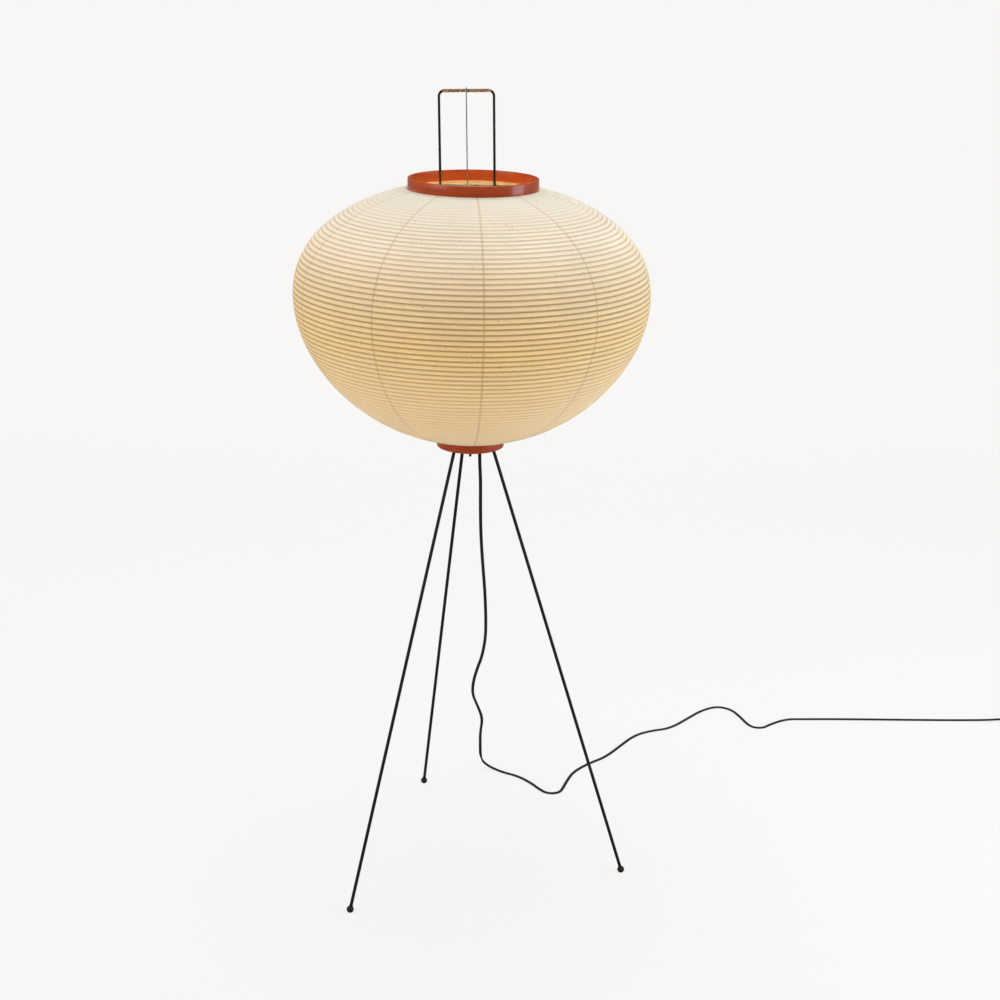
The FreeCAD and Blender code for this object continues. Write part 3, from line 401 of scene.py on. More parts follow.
def make_paper():
    """Washi over bamboo: painted bulb glow by height, soft rib lines that are partly painted
    shadow, painted shade between the ribs, overlapped seams, clouds, fibres and specks.
    """
    material, tree = new_material("washi_paper")
    labels = add(tree, "ShaderNodeUVMap", {"uv_map": "panels"}).outputs[0]
    parts = add(tree, "ShaderNodeSeparateXYZ", Vector=labels)
    across, up = parts.outputs[0], parts.outputs[1]
    place = object_place(tree)
    spot = add(tree, "ShaderNodeSeparateXYZ", Vector=place)

    slow = noise_mask(tree, place, scale=14.0, detail=2.0)
    fine = noise_mask(tree, place, scale=160.0, detail=4.0)
    clouds = noise_mask(tree, place, scale=420.0, detail=3.0)
    curls = noise_mask(tree, place, scale=46.0, detail=3.0, distortion=1.6)
    specks = noise_mask(tree, place, scale=260.0, detail=1.0)
    unsteady = math_node(tree, "SUBTRACT", fine, 0.5)
    fibre = ramp(tree, math_node(tree, "ABSOLUTE", math_node(tree, "SUBTRACT", curls, 0.5)),
                 *FIBRE_EDGE, 1.0, 0.0)

    wander = times(tree, unsteady, RIB_SHADOW_WANDER)
    # The hoop showing through the paper, darkened further as painted shadow of the hoop.
    rib_shadow_line = ramp(tree, plus(tree, math_node(tree, "PINGPONG", up, 0.5), wander),
                    *RIB_SHADOW_LINE_EDGE, 1.0, 0.0)
    # Painted shade: each band between hoops darkens towards the hoop above it.
    rib_band_shade = ramp(tree, plus(tree, math_node(tree, "FRACT", up), wander), *RIB_SHADE_EDGE)

    flat = add(tree, "ShaderNodeCombineXYZ", X=spot.outputs[0], Y=spot.outputs[1])
    reach = add(tree, "ShaderNodeVectorMath", {"operation": "LENGTH"}, i0=flat.outputs[0])
    panel_span = times(tree, reach.outputs["Value"], 2 * math.pi / PANEL_COUNT)
    to_seam = times(tree, math_node(tree, "PINGPONG", across, 0.5), panel_span)
    seam = ramp(tree, plus(tree, to_seam, times(tree, unsteady, SEAM_WANDER)),
                *SEAM_EDGE, 1.0, 0.0)

    share = math_node(tree, "DIVIDE",
                      math_node(tree, "SUBTRACT", spot.outputs[2], shade_low[2]),
                      shade_high[2] - shade_low[2])
    # Painted glow of the bulb: the paper's base colour follows the height, warmest near the bulb
    # inside.
    height = add(tree, "ShaderNodeValToRGB", i0=share)
    stops = height.color_ramp.elements
    stops.remove(stops[1])
    stops[0].color = linear(*PAPER_GLOW_BY_HEIGHT[0][1])
    for position, colour in PAPER_GLOW_BY_HEIGHT[1:]:
        stops.new(position).color = linear(*colour)

    # The painted rib lines and band shade show least where the paper turns in towards the two
    # rings.
    above, rim, below = (ramp(tree, share, *fade) for fade in RIB_SHADOW_FADES)
    seen = times(tree, times(tree, above, rim), below)
    # Mask, greatest share, colour: each layer is laid over the ones before it.
    layers = (
        (ramp(tree, slow, 0.35, 0.7), 0.08, (226, 206, 160)),
        (ramp(tree, clouds, 0.3, 0.7), 0.08, (222, 202, 160)),
        (fibre, 0.12, (255, 250, 236)),
        # Painted shade in each band between the hoops.
        (times(tree, seen, rib_band_shade), 0.42, (220, 198, 146)),
        # The hoops showing through the paper, with painted shadow of each hoop.
        (times(tree, seen, rib_shadow_line), 0.72, (184, 150, 92)),
        (seam, 0.40, (196, 176, 126)),
        (ramp(tree, specks, 0.735, 0.77), 0.5, (150, 118, 76)),
    )
    body = height.outputs[0]
    for mask, most, colour in layers:
        body = mix_colour(tree, times(tree, mask, most), body, linear(*colour))

    relief = plus(tree, times(tree, fine, 0.6), times(tree, fibre, 0.3))
    relief = plus(tree, relief, times(tree, seam, 0.8))
    raised = raise_surface(tree, relief, strength=0.35, distance=0.4 * MM)
    face = principled(tree, Base_Color=body, Roughness=0.86, Normal=raised, Sheen_Weight=0.15,
                      Specular_IOR_Level=0.25)
    through = add(tree, "ShaderNodeBsdfTranslucent", Color=body, Normal=raised)
    close_tree(tree, mix_shaders(tree, TRANSLUCENCE, face, through))
    return material


# ---- other finishes
def make_lacquer():
    """Orange-red lacquer over bent wood: faint grain under a thin, slightly uneven gloss."""
    material, tree = new_material("lacquered_hoop")
    drawn = add(tree, "ShaderNodeMapping", Vector=object_place(tree), Scale=(9.0, 9.0, 900.0))
    grain = noise_mask(tree, drawn.outputs[0], scale=1.0, detail=4.0)
    patches, fine = mottle(tree, patch_scale=22.0, grain_scale=700.0)
    body = mix_colour(tree, ramp(tree, grain, 0.35, 0.68), linear(154, 54, 10),
                      linear(172, 68, 14))
    body = mix_colour(tree, times(tree, ramp(tree, patches, 0.45, 0.75), 0.3), body,
                      linear(138, 44, 8))
    rough = plus(tree, 0.30, times(tree, patches, 0.16))
    relief = plus(tree, grain, times(tree, fine, 0.4))
    raised = raise_surface(tree, relief, strength=0.12, distance=0.3 * MM)
    close_tree(tree, principled(tree, Base_Color=body, Roughness=rough, Normal=raised,
                                Specular_IOR_Level=0.15, Coat_Roughness=0.14,
                                Coat_Weight=0.4))
    return material


def make_cane(name, light, dark, scale):
    """Split cane or bamboo: long grain, paler and darker streaks."""
    material, tree = new_material(name)
    light, dark = linear(*light), linear(*dark)
    drawn = add(tree, "ShaderNodeMapping", Vector=object_place(tree), Scale=scale)
    grain = noise_mask(tree, drawn.outputs[0], scale=1.0, detail=5.0, distortion=0.4)
    patches, fine = mottle(tree, patch_scale=60.0, grain_scale=1200.0)
    body = mix_colour(tree, ramp(tree, grain, 0.32, 0.66), dark, light)
    body = mix_colour(tree, times(tree, ramp(tree, patches, 0.5, 0.8), 0.35), body, dark)
    rough = plus(tree, 0.42, times(tree, fine, 0.2))
    raised = raise_surface(tree, grain, strength=0.3, distance=0.2 * MM)
    close_tree(tree, principled(tree, Base_Color=body, Roughness=rough, Normal=raised))
    return material


def make_opal_glass():
    """Lit opal bulb, bright all over, with a faintly uneven tone."""
    material, tree = new_material("opal_bulb")
    patches, fine = mottle(tree, patch_scale=40.0, grain_scale=600.0)
    body = mix_colour(tree, patches, linear(255, 244, 222), linear(255, 250, 236))
    rough = plus(tree, 0.3, times(tree, fine, 0.1))
    close_tree(tree, principled(tree, Base_Color=body, Roughness=rough, Emission_Strength=6.0,
                                Emission_Color=linear(255, 226, 176)))
    return material


def make_clear_stem():
    material, tree = new_material("bulb_inner_glass")
    patches, fine = mottle(tree, patch_scale=80.0, grain_scale=900.0)
    body = mix_colour(tree, patches, linear(236, 232, 222), linear(250, 248, 240))
    raised = raise_surface(tree, fine, strength=0.1, distance=0.2 * MM)
    close_tree(tree, principled(tree, Base_Color=body, Roughness=0.08, Normal=raised,
                                Transmission_Weight=0.9))
    return material


PAPER = make_paper()
LACQUER = make_lacquer()
BAMBOO = make_cane("split_bamboo", (214, 184, 128), (168, 132, 78), scale=(40.0, 40.0, 900.0))
CANE = make_cane("wrapping_cane", (160, 124, 90), (112, 83, 57), scale=(500.0, 60.0, 60.0))
BLACK_STEEL = coated("black_lacquered_steel", (17, 16, 16), (11, 11, 11), roughness=0.44,
                     spread=0.16, bump=0.12, patch_scale=45.0, grain_scale=1400.0,
                     Specular_IOR_Level=0.25)
BRIGHT_STEEL = coated("drawn_wire", (132, 125, 119), (90, 83, 77), roughness=0.3, spread=0.2,
                      bump=0.1, patch_scale=90.0, grain_scale=1800.0, Metallic=1.0)
BAKELITE = coated("black_bakelite", (34, 30, 28), (24, 21, 20), roughness=0.3, spread=0.12,
                  bump=0.08, patch_scale=50.0)
CERAMIC = coated("white_ceramic", (232, 228, 218), (216, 210, 198), roughness=0.6,
                 spread=0.12, bump=0.15)
BRASS = coated("plain_brass", (206, 172, 104), (172, 136, 74), roughness=0.3, spread=0.2,
               bump=0.1, patch_scale=120.0, grain_scale=1600.0, Metallic=1.0)
CAP_METAL = coated("rolled_cap", (206, 206, 204), (176, 176, 174), roughness=0.28,
                   spread=0.16, bump=0.1, patch_scale=120.0, grain_scale=1600.0, Metallic=1.0)
RUBBER = coated("black_rubber", (24, 24, 24), (16, 16, 16), roughness=0.55, spread=0.2,
                bump=0.3, patch_scale=60.0, grain_scale=1300.0, Specular_IOR_Level=0.3)
FLEX = coated("flex_sleeve", (23, 22, 22), (15, 15, 15), roughness=0.52, spread=0.16,
              bump=0.2, patch_scale=80.0, grain_scale=1500.0, Specular_IOR_Level=0.3)
MOULDED = coated("spark_textured_plastic", (38, 37, 37), (28, 27, 27), roughness=0.5,
                 spread=0.12, bump=0.5, patch_scale=40.0, grain_scale=1900.0)
STRAP = coated("soft_strap", (44, 43, 43), (30, 30, 30), roughness=0.6, spread=0.15,
               bump=0.4, patch_scale=70.0, grain_scale=1500.0)
OPAL = make_opal_glass()
CLEAR = make_clear_stem()
LIGHT_STICK = coated("light_sticks", (255, 226, 150), (250, 206, 120), roughness=0.5,
                     spread=0.1, bump=0.1)


# ---- mesh helpers
def mesh_piece(name, points, faces, material):
    mesh = bpy.data.meshes.new(name)
    mesh.from_pydata([tuple(p) for p in points], [], faces)
    mesh.update()
    mesh.materials.append(material)
    mesh.shade_smooth()
    piece = bpy.data.objects.new(name, mesh)
    bpy.context.scene.collection.objects.link(piece)
    return piece


def band_faces(rows, width, closed=False):
    """Quads between neighbouring rows of points, where every row is a ring."""
    faces = []
    for row in range(rows if closed else rows - 1):
        low, high = row * width, (row + 1) % rows * width
        for k in range(width):
            j = (k + 1) % width
            faces.append((low + k, low + j, high + j, high + k))
    return faces


def lathe(name, profile, material, steps=96, centre=(0.0, 0.0), closed=False):
    """Solid turned about an upright axis from (radius, height) points, bottom up outside."""
    points = []
    faces = []
    rings = []
    for radius, height in profile:
        if radius < 1e-7:
            rings.append([len(points)])
            points.append((centre[0], centre[1], height))
        else:
            rings.append(list(range(len(points), len(points) + steps)))
            for i in range(steps):
                angle = 2 * math.pi * i / steps
                points.append((centre[0] + radius * math.cos(angle),
                               centre[1] + radius * math.sin(angle), height))
    pairs = list(zip(rings, rings[1:]))
    if closed:
        pairs.append((rings[-1], rings[0]))
    for low, high in pairs:
        if len(low) == 1 and len(high) == 1:
            continue
        for i in range(steps):
            j = (i + 1) % steps
            if len(low) == 1:
                faces.append((low[0], high[j], high[i]))
            elif len(high) == 1:
                faces.append((low[i], low[j], high[0]))
            else:
                faces.append((low[i], low[j], high[j], high[i]))
    return mesh_piece(name, points, faces, material)


def frames_along(path):
    """Positions with a heading and a side vector that doesn't spin along the path."""
    path = [Vector(p) for p in path]
    headings = []
    for i in range(len(path)):
        before = path[max(i - 1, 0)]
        after = path[min(i + 1, len(path) - 1)]
        headings.append((after - before).normalized())
    side = headings[0].orthogonal().normalized()
    frames = []
    for i, (point, heading) in enumerate(zip(path, headings)):
        if i:
            side = headings[i - 1].rotation_difference(heading) @ side
            side = (side - heading * side.dot(heading)).normalized()
        frames.append((point, heading, side.copy()))
    return frames


def sweep(name, path, section, material, roll=None):
    """Capped section swept along a path; roll gives the section's turn at each point."""
    points = []
    count = len(section)
    frames = frames_along(path)
    for i, (point, heading, side) in enumerate(frames):
        other = heading.cross(side)
        turn = roll[i] if roll else 0.0
        a = side * math.cos(turn) + other * math.sin(turn)
        b = heading.cross(a)
        for x, y in section:
            points.append(point + a * x + b * y)
    last = (len(frames) - 1) * count
    faces = band_faces(len(frames), count)
    faces.append(tuple(range(count - 1, -1, -1)))
    faces.append(tuple(range(last, last + count)))
    return mesh_piece(name, points, faces, material)


def round_section(radius, sides):
    angles = [2 * math.pi * k / sides for k in range(sides)]
    return [(radius * math.cos(angle), radius * math.sin(angle)) for angle in angles]


def bend_path(corners, radius, steps):
    """Straight runs joined by tangent arcs of one radius."""
    corners = [Vector(c) for c in corners]
    path = [corners[0]]
    for before, corner, after in zip(corners, corners[1:], corners[2:]):
        inward = (corner - before).normalized()
        outward = (after - corner).normalized()
        turn = inward.angle(outward)
        reach = radius * math.tan(turn / 2)
        bisector = (outward - inward).normalized()
        centre = corner + bisector * (radius / math.cos(turn / 2))
        start = corner - inward * reach - centre
        axis = inward.cross(outward).normalized()
        for i in range(steps + 1):
            path.append(centre + Matrix.Rotation(turn * i / steps, 3, axis) @ start)
    path.append(corners[-1])
    return path


def run_along(path):
    """Distance from the start to every point of a path."""
    run = [0.0]
    for a, b in zip(path, path[1:]):
        run.append(run[-1] + (b - a).length)
    return run


def lean(point):
    """Leans a point of the bail's upright frame to the left, as the real one stands."""
    pivot = Vector((0, 0, BAIL_LEAN_LEVEL))
    return pivot + Matrix.Rotation(-BAIL_LEAN, 3, "Y") @ (Vector(point) - pivot)


# ---- lantern
def outline_point(t):
    """Position (radius, height) and outward normal on the outline; t below 0 is the lower half."""
    power = SHADE_RISE_POWER if t >= 0 else SHADE_DROP_POWER
    reach = SHADE_RISE if t >= 0 else -SHADE_DROP
    radius = SHADE_RADIUS * math.cos(abs(t))
    height = SHADE_LEVEL + reach * math.sin(abs(t)) ** (2 / power)
    share = abs((height - SHADE_LEVEL) / reach)
    normal = Vector((2 * radius / SHADE_RADIUS ** 2, power * share ** (power - 1) / reach))
    return Vector((radius, height)), normal.normalized()


def outline_stations(count):
    """Points spaced evenly along the outline from the bottom ring to the top ring."""
    gap = PAPER_WALL + PAPER_GAP
    low = -math.acos((BOTTOM_RING_RADIUS + gap) / SHADE_RADIUS)
    high = math.acos((TOP_RING_RADIUS + gap) / SHADE_RADIUS)
    values = [low + (high - low) * i / OUTLINE_SAMPLES for i in range(OUTLINE_SAMPLES + 1)]
    run = run_along([outline_point(t)[0] for t in values])
    stations = []
    j = 0
    for i in range(count + 1):
        target = run[-1] * i / count
        while j < OUTLINE_SAMPLES - 1 and run[j + 1] < target:
            j += 1
        share = (target - run[j]) / (run[j + 1] - run[j])
        stations.append(outline_point(values[j] + share * (values[j + 1] - values[j])))
    return stations


def panel_columns():
    """The paper's columns, counted in panels: a close pair at each seam, then even steps."""
    shares = [-SEAM_HALF, SEAM_HALF] + [i / PANEL_COLUMNS for i in range(1, PANEL_COLUMNS)]
    return [panel + share for panel in range(PANEL_COUNT) for share in shares]


def turn_of(column):
    """Direction of a column; each panel was cut a little wider or narrower."""
    panel = math.floor(column)
    share = column - panel
    drift = SEAM_DRIFT[panel % PANEL_COUNT] * (1 - share)
    drift += SEAM_DRIFT[(panel + 1) % PANEL_COUNT] * share
    return math.radians(SEAM_TURN + column * 360 / PANEL_COUNT + drift)


def wobble(column, level):
    """Slow unevenness of the paper, joined up over a full turn."""
    angle = column * 2 * math.pi / PANEL_COUNT
    return noise.noise(Vector((math.cos(angle) * WOBBLE_AROUND,
                               math.sin(angle) * WOBBLE_AROUND, level * WOBBLE_UP)))


def make_paper_skin():
    """Paper drawn in between the ribs, as a closed thin shell with overlapped seams."""
    stations = outline_stations((RIB_COUNT + 1) * ROWS_PER_RIB)
    columns = panel_columns()
    random.seed(RIB_SEED)
    rib_shift = [random.uniform(-RIB_SHIFT, RIB_SHIFT) for _ in range(RIB_COUNT + 2)]
    points = []
    labels = []
    rows = len(stations)

    def add_row(index, inward):
        point, normal = stations[index]
        rib = index / ROWS_PER_RIB
        nearest = rib_shift[min(int(round(rib)), RIB_COUNT)]
        edge = min(1.0, rib, (rows - 1 - index) / ROWS_PER_RIB)
        dip = PAPER_DIP * DIP_SHARES[index % ROWS_PER_RIB]
        for column in columns:
            angle = turn_of(column)
            depth = dip + PAPER_RIPPLE * abs(wobble(column, point.y)) * edge
            spot = point - normal * (depth + inward)
            if index in (0, rows - 1):
                spot.x = point.x - inward
            lift = nearest + RIB_WAVE * wobble(column + WAVE_TURN, point.y + WAVE_LIFT)
            points.append((spot.x * math.cos(angle), spot.x * math.sin(angle),
                           spot.y + edge * lift * abs(normal.x)))
            labels.append((column, rib))

    outer = list(range(rows))
    inner = list(range(rows - 1, -1, -ROWS_PER_RIB))
    for index in outer:
        add_row(index, 0.0)
    for index in inner:
        add_row(index, PAPER_WALL)
    width = len(columns)
    skin = mesh_piece("paper_skin", points,
                      band_faces(len(outer) + len(inner), width, closed=True), PAPER)
    layer = skin.data.uv_layers.new(name="panels")
    for polygon in skin.data.polygons:
        seam_wrap = polygon.index % width == width - 1
        for loop_index in polygon.loop_indices:
            column, rib = labels[skin.data.loops[loop_index].vertex_index]
            if seam_wrap and column < 1:
                column += PANEL_COUNT
            layer.data[loop_index].uv = (column, rib)
    squash_shade(skin)
    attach(skin, "stand")
    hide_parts("paper_shade")


def squash_shade(piece):
    """Gives a piece its own copy of its mesh."""
    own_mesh(piece)


def make_hoop_tree():
    """Geometry Nodes: a round hoop for each (radius, 0, height) point that comes in."""
    tree = bpy.data.node_groups.new("rib_hoops", "GeometryNodeTree")

    def new_socket(label, kind, way="INPUT"):
        return tree.interface.new_socket(label, in_out=way, socket_type="NodeSocket" + kind)

    new_socket("Outline", "Geometry")
    thick = new_socket("Rib radius", "Float")
    steps = new_socket("Steps", "Int")
    new_socket("Ribs", "Geometry", "OUTPUT")
    given = tree.nodes.new("NodeGroupInput")
    out = tree.nodes.new("NodeGroupOutput")
    place = add(tree, "GeometryNodeInputPosition")
    split = add(tree, "ShaderNodeSeparateXYZ", Vector=place.outputs[0])
    level = add(tree, "ShaderNodeCombineXYZ", Z=split.outputs[2])
    centres = add(tree, "GeometryNodeMeshToPoints", Mesh=given.outputs[0])
    marked = add(tree, "GeometryNodeStoreNamedAttribute",
                 {"data_type": "FLOAT", "domain": "POINT"}, Geometry=centres.outputs[0],
                 Name="hoop_radius", Value=split.outputs[0])
    moved = add(tree, "GeometryNodeSetPosition", Geometry=marked.outputs[0],
                Position=level.outputs[0])
    circle = add(tree, "GeometryNodeCurvePrimitiveCircle", Resolution=given.outputs[2],
                 Radius=1.0)
    radius = add(tree, "GeometryNodeInputNamedAttribute", {"data_type": "FLOAT"},
                 Name="hoop_radius")
    hoops = add(tree, "GeometryNodeInstanceOnPoints", Points=moved.outputs[0],
                Instance=circle.outputs[0], Scale=radius.outputs[0])
    curves = add(tree, "GeometryNodeRealizeInstances", Geometry=hoops.outputs[0])
    profile = add(tree, "GeometryNodeCurvePrimitiveCircle", Resolution=RIB_SIDES,
                  Radius=given.outputs[1])
    solid = add(tree, "GeometryNodeCurveToMesh", Curve=curves.outputs[0],
                Profile_Curve=profile.outputs[0])
    smooth = add(tree, "GeometryNodeSetShadeSmooth", Geometry=solid.outputs[0])
    finish = add(tree, "GeometryNodeSetMaterial", Geometry=smooth.outputs[0], Material=BAMBOO)
    tree.links.new(finish.outputs[0], out.inputs[0])
    return tree, {thick.identifier: RIB_RADIUS, steps.identifier: RIB_STEPS}


def make_ribs():
    """Split-bamboo hoops behind the paper's ridges, repeated along the outline."""
    holders = []
    for point, normal in outline_stations(RIB_COUNT + 1)[1:-1]:
        centre = point - normal * (PAPER_WALL + RIB_INSET)
        holders.append((centre.x, 0, centre.y))
    ribs = mesh_piece("bamboo_hoops", holders, [], BAMBOO)
    grow(ribs, *make_hoop_tree())
    squash_shade(ribs)
    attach(ribs, "stand")
    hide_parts("bamboo_ribs")


def grow(piece, tree, inputs):
    """Applies a Geometry Nodes tree to a piece and leaves a plain mesh."""
    modifier = piece.modifiers.new("grown", "NODES")
    modifier.node_group = tree
    for identifier, value in inputs.items():
        modifier[identifier] = value
    bpy.context.view_layer.update()
    evaluated = piece.evaluated_get(bpy.context.evaluated_depsgraph_get())
    mesh = bpy.data.meshes.new_from_object(evaluated)
    piece.modifiers.remove(modifier)
    piece.data = mesh


def hoop_profile(radius, foot, rim, ledge=False):
    """Outline of a hoop with softly rounded rims; the inner ledge carries the plate."""
    inner = radius - HOOP_WALL
    low, high = foot + HOOP_ROUNDING, rim - HOOP_ROUNDING
    outline = []

    def round_corner(x, z, start):
        """Quarter round about a centre; start is its first direction, in quarter turns."""
        for i in range(HOOP_ROUNDING_STEPS + 1):
            angle = QUARTER * (start + i / HOOP_ROUNDING_STEPS)
            outline.append((x + HOOP_ROUNDING * math.cos(angle),
                            z + HOOP_ROUNDING * math.sin(angle)))

    round_corner(radius - HOOP_ROUNDING, low, -1)
    round_corner(radius - HOOP_ROUNDING, high, 0)
    round_corner(inner + HOOP_ROUNDING, high, 1)
    if ledge:
        cut = LEDGE_CHAMFER
        outline.extend([(inner, LEDGE_TOP + cut / 2), (inner, LEDGE_TOP),
                        (LEDGE_LIP + cut, LEDGE_TOP), (LEDGE_LIP, LEDGE_TOP - cut),
                        (LEDGE_LIP, LEDGE_UNDER + cut), (LEDGE_LIP + cut, LEDGE_UNDER),
                        (inner, LEDGE_UNDER)])
    round_corner(inner + HOOP_ROUNDING, low, 2)
    return outline


def make_hoops():
    outline = hoop_profile(TOP_RING_RADIUS, top_low[2], top_high[2])
    top = lathe("top_hoop", outline, LACQUER, steps=192, closed=True)
    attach(top, "top_ring")
    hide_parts("top_ring")
    outline = hoop_profile(BOTTOM_RING_RADIUS, bottom_low[2], bottom_high[2], ledge=True)
    bottom = lathe("bottom_hoop", outline, LACQUER, steps=144, closed=True)
    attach(bottom, "stand")
    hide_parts("bottom_ring")


# ---- stand
def make_legs():
    ball_level = FOOT_RADIUS - FOOT_FLAT
    slope = (LEG_SPREAD - LEG_GATHER) / (LEG_GATHER_LEVEL - ball_level)
    for side, turn in LEG_TURN.items():
        angle = math.radians(turn)
        sense = Vector((math.cos(angle), math.sin(angle), 0))
        low = sense * LEG_SPREAD + Vector((0, 0, ball_level))
        high = sense * (LEG_SPREAD - slope * (LEG_TOP - ball_level)) + Vector((0, 0, LEG_TOP))
        path = [low.lerp(high, i / LEG_STEPS) for i in range(LEG_STEPS + 1)]
        rod = sweep("leg_rod_" + side, path, round_section(LEG_RADIUS, ROD_SIDES), BLACK_STEEL)
        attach(rod, "stand")
        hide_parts("leg_" + side)
        make_foot(side, low, (high - low).normalized())


def make_foot(side, centre, heading):
    """Ball foot, flat underneath, with a short collar where the rod enters."""
    drop = FOOT_RADIUS - FOOT_FLAT
    flat = math.sqrt(FOOT_RADIUS ** 2 - drop ** 2)
    start = math.asin(-drop / FOOT_RADIUS)
    profile = [(0.0, 0.0), (flat * FOOT_FACE_SHARE, 0.0)]
    for i in range(FOOT_STEPS + 1):
        angle = start + (QUARTER - start) * i / FOOT_STEPS
        radius = FOOT_RADIUS * math.cos(angle) if i < FOOT_STEPS else 0.0
        profile.append((radius, centre.z + FOOT_RADIUS * math.sin(angle)))
    ball = lathe("ball_foot_" + side, profile, RUBBER, steps=40, centre=(centre.x, centre.y))
    collar_path = [centre + heading * (FOOT_RADIUS + d * MM) for d in COLLAR_STATIONS]
    collar = sweep("foot_collar_" + side, collar_path,
                   round_section(LEG_RADIUS + COLLAR_WALL, ROD_SIDES), RUBBER)
    collar.parent = ball
    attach(ball, "stand")
    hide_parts("foot_" + side)


def make_bail():
    half = BAIL_HALF_WIDTH
    corners = [(-half, 0, BAIL_FOOT), (-half, 0, BAIL_HEIGHT), (half, 0, BAIL_HEIGHT),
               (half, 0, BAIL_FOOT)]
    path = [lean(p) for p in bend_path(corners, BAIL_CORNER, BAIL_CORNER_STEPS)]
    bow = sweep("bail_bow", path, round_section(BAIL_WIRE, ROD_SIDES), BLACK_STEEL)
    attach(bow, "stand")
    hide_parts("bail")


def on_grip(along):
    """Point on the bail's wire and its outward direction, along the grip from its middle."""
    side = math.copysign(1.0, along)
    straight = BAIL_HALF_WIDTH - BAIL_CORNER
    past = abs(along) - straight
    if past <= 0:
        return Vector((along, 0, BAIL_HEIGHT)), Vector((0, 0, 1))
    turned = past / BAIL_CORNER
    outward = Vector((side * math.sin(turned), 0, math.cos(turned)))
    centre = Vector((side * straight, 0, BAIL_HEIGHT - BAIL_CORNER))
    return centre + outward * BAIL_CORNER, outward


def make_wrap():
    """Flat cane strip wound closely round the grip and a little way into both bends."""
    points = []
    count = WRAP_TURNS * WRAP_STEPS
    random.seed(WRAP_SEED)
    lift = [random.uniform(0, WRAP_UNEVEN) for _ in range(WRAP_TURNS + 2)]
    for i in range(count + 1):
        t = i / WRAP_STEPS
        angle = 2 * math.pi * t
        across = WRAP_SPAN * (t / WRAP_TURNS - 0.5)
        share = t - int(t)
        raised = lift[int(t)] * (1 - share) + lift[int(t) + 1] * share
        from_end = min(i, count - i) / WRAP_STEPS
        taper = min(1.0, WRAP_END_SHARE + (1 - WRAP_END_SHARE) * from_end)
        for u, h in STRIP_SECTION:
            radius = BAIL_WIRE + STRIP_THICK * taper * (h + raised) + WRAP_GAP
            spot, outward = on_grip(across + u * STRIP_WIDTH)
            spot = spot + outward * (radius * math.cos(angle))
            points.append(lean(spot + Vector((0, radius * math.sin(angle), 0))))
    width = len(STRIP_SECTION)
    faces = [(a, d, c, b) for a, b, c, d in band_faces(count + 1, width)]
    faces.append(tuple(range(width)))
    faces.append(tuple(range(count * width + width - 1, count * width - 1, -1)))
    wrap = mesh_piece("cane_wrap", points, faces, CANE)
    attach(wrap, "stand")
    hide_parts("bail_wrap")


def make_hanger():
    """Wire hook with an eye round the grip and a foot that reaches under the cross wire."""
    foot = CROSS_WIRE_LEVEL - CROSS_WIRE_RADIUS - HANGER_WIRE - HANGER_GAP
    front = -EYE_RADIUS
    path = []
    for i in range(EYE_STEPS + 1):
        angle = math.radians(EYE_START + EYE_ARC * i / EYE_STEPS)
        path.append((0, EYE_RADIUS * math.cos(angle), BAIL_HEIGHT + EYE_RADIUS * math.sin(angle)))
    path.append((0, front, HANGER_MIDDLE))
    for i in range(HANGER_BEND_STEPS + 1):
        angle = QUARTER * i / HANGER_BEND_STEPS
        path.append((0, front + HANGER_BEND - HANGER_BEND * math.cos(angle),
                     foot + HANGER_BEND - HANGER_BEND * math.sin(angle)))
    path.append((0, CROSS_WIRE_BACK + HANGER_TOE, foot))
    path = [lean(spot) for spot in path]
    hook = sweep("hanger_hook", path, round_section(HANGER_WIRE, HANGER_SIDES), BRIGHT_STEEL)
    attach(hook, "hanger")
    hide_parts("hanger_wire")


def make_cross_wire():
    path = [(x, CROSS_WIRE_BACK, CROSS_WIRE_LEVEL) for x in CROSS_WIRE_STATIONS]
    rod = sweep("cross_rod", path, round_section(CROSS_WIRE_RADIUS, CROSS_WIRE_SIDES),
                BRIGHT_STEEL)
    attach(rod, "top_ring")
    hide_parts("cross_wire")


# ---- bulb
def bulb_outline(radius):
    """Pear-shaped outline for a ball of this radius, from the neck up to the crown."""
    across = NECK_RADIUS + NECK_CURVE
    drop = math.sqrt((BULB_RADIUS + NECK_CURVE) ** 2 - across ** 2)
    curve_level = BULB_LEVEL - drop
    bend = BULB_RADIUS + NECK_CURVE - radius
    meet = math.atan2(drop, across)
    outline = [(across - bend, CAP_RIM - NECK_SUNK), (across - bend, curve_level)]
    for i in range(1, NECK_STEPS + 1):
        angle = meet * i / NECK_STEPS
        outline.append((across - bend * math.cos(angle), curve_level + bend * math.sin(angle)))
    for i in range(1, BULB_STEPS + 1):
        angle = -meet + (QUARTER + meet) * i / BULB_STEPS
        outline.append((radius * math.cos(angle) if i < BULB_STEPS else 0.0,
                        BULB_LEVEL + radius * math.sin(angle)))
    return outline


def make_bulb():
    outer = bulb_outline(BULB_RADIUS)
    inner = bulb_outline(BULB_RADIUS - GLASS_WALL)
    glass = lathe("opal_bulb_glass", outer + inner[::-1] + [outer[0]], OPAL, steps=72)
    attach(glass, "stand")
    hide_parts("bulb_glass")


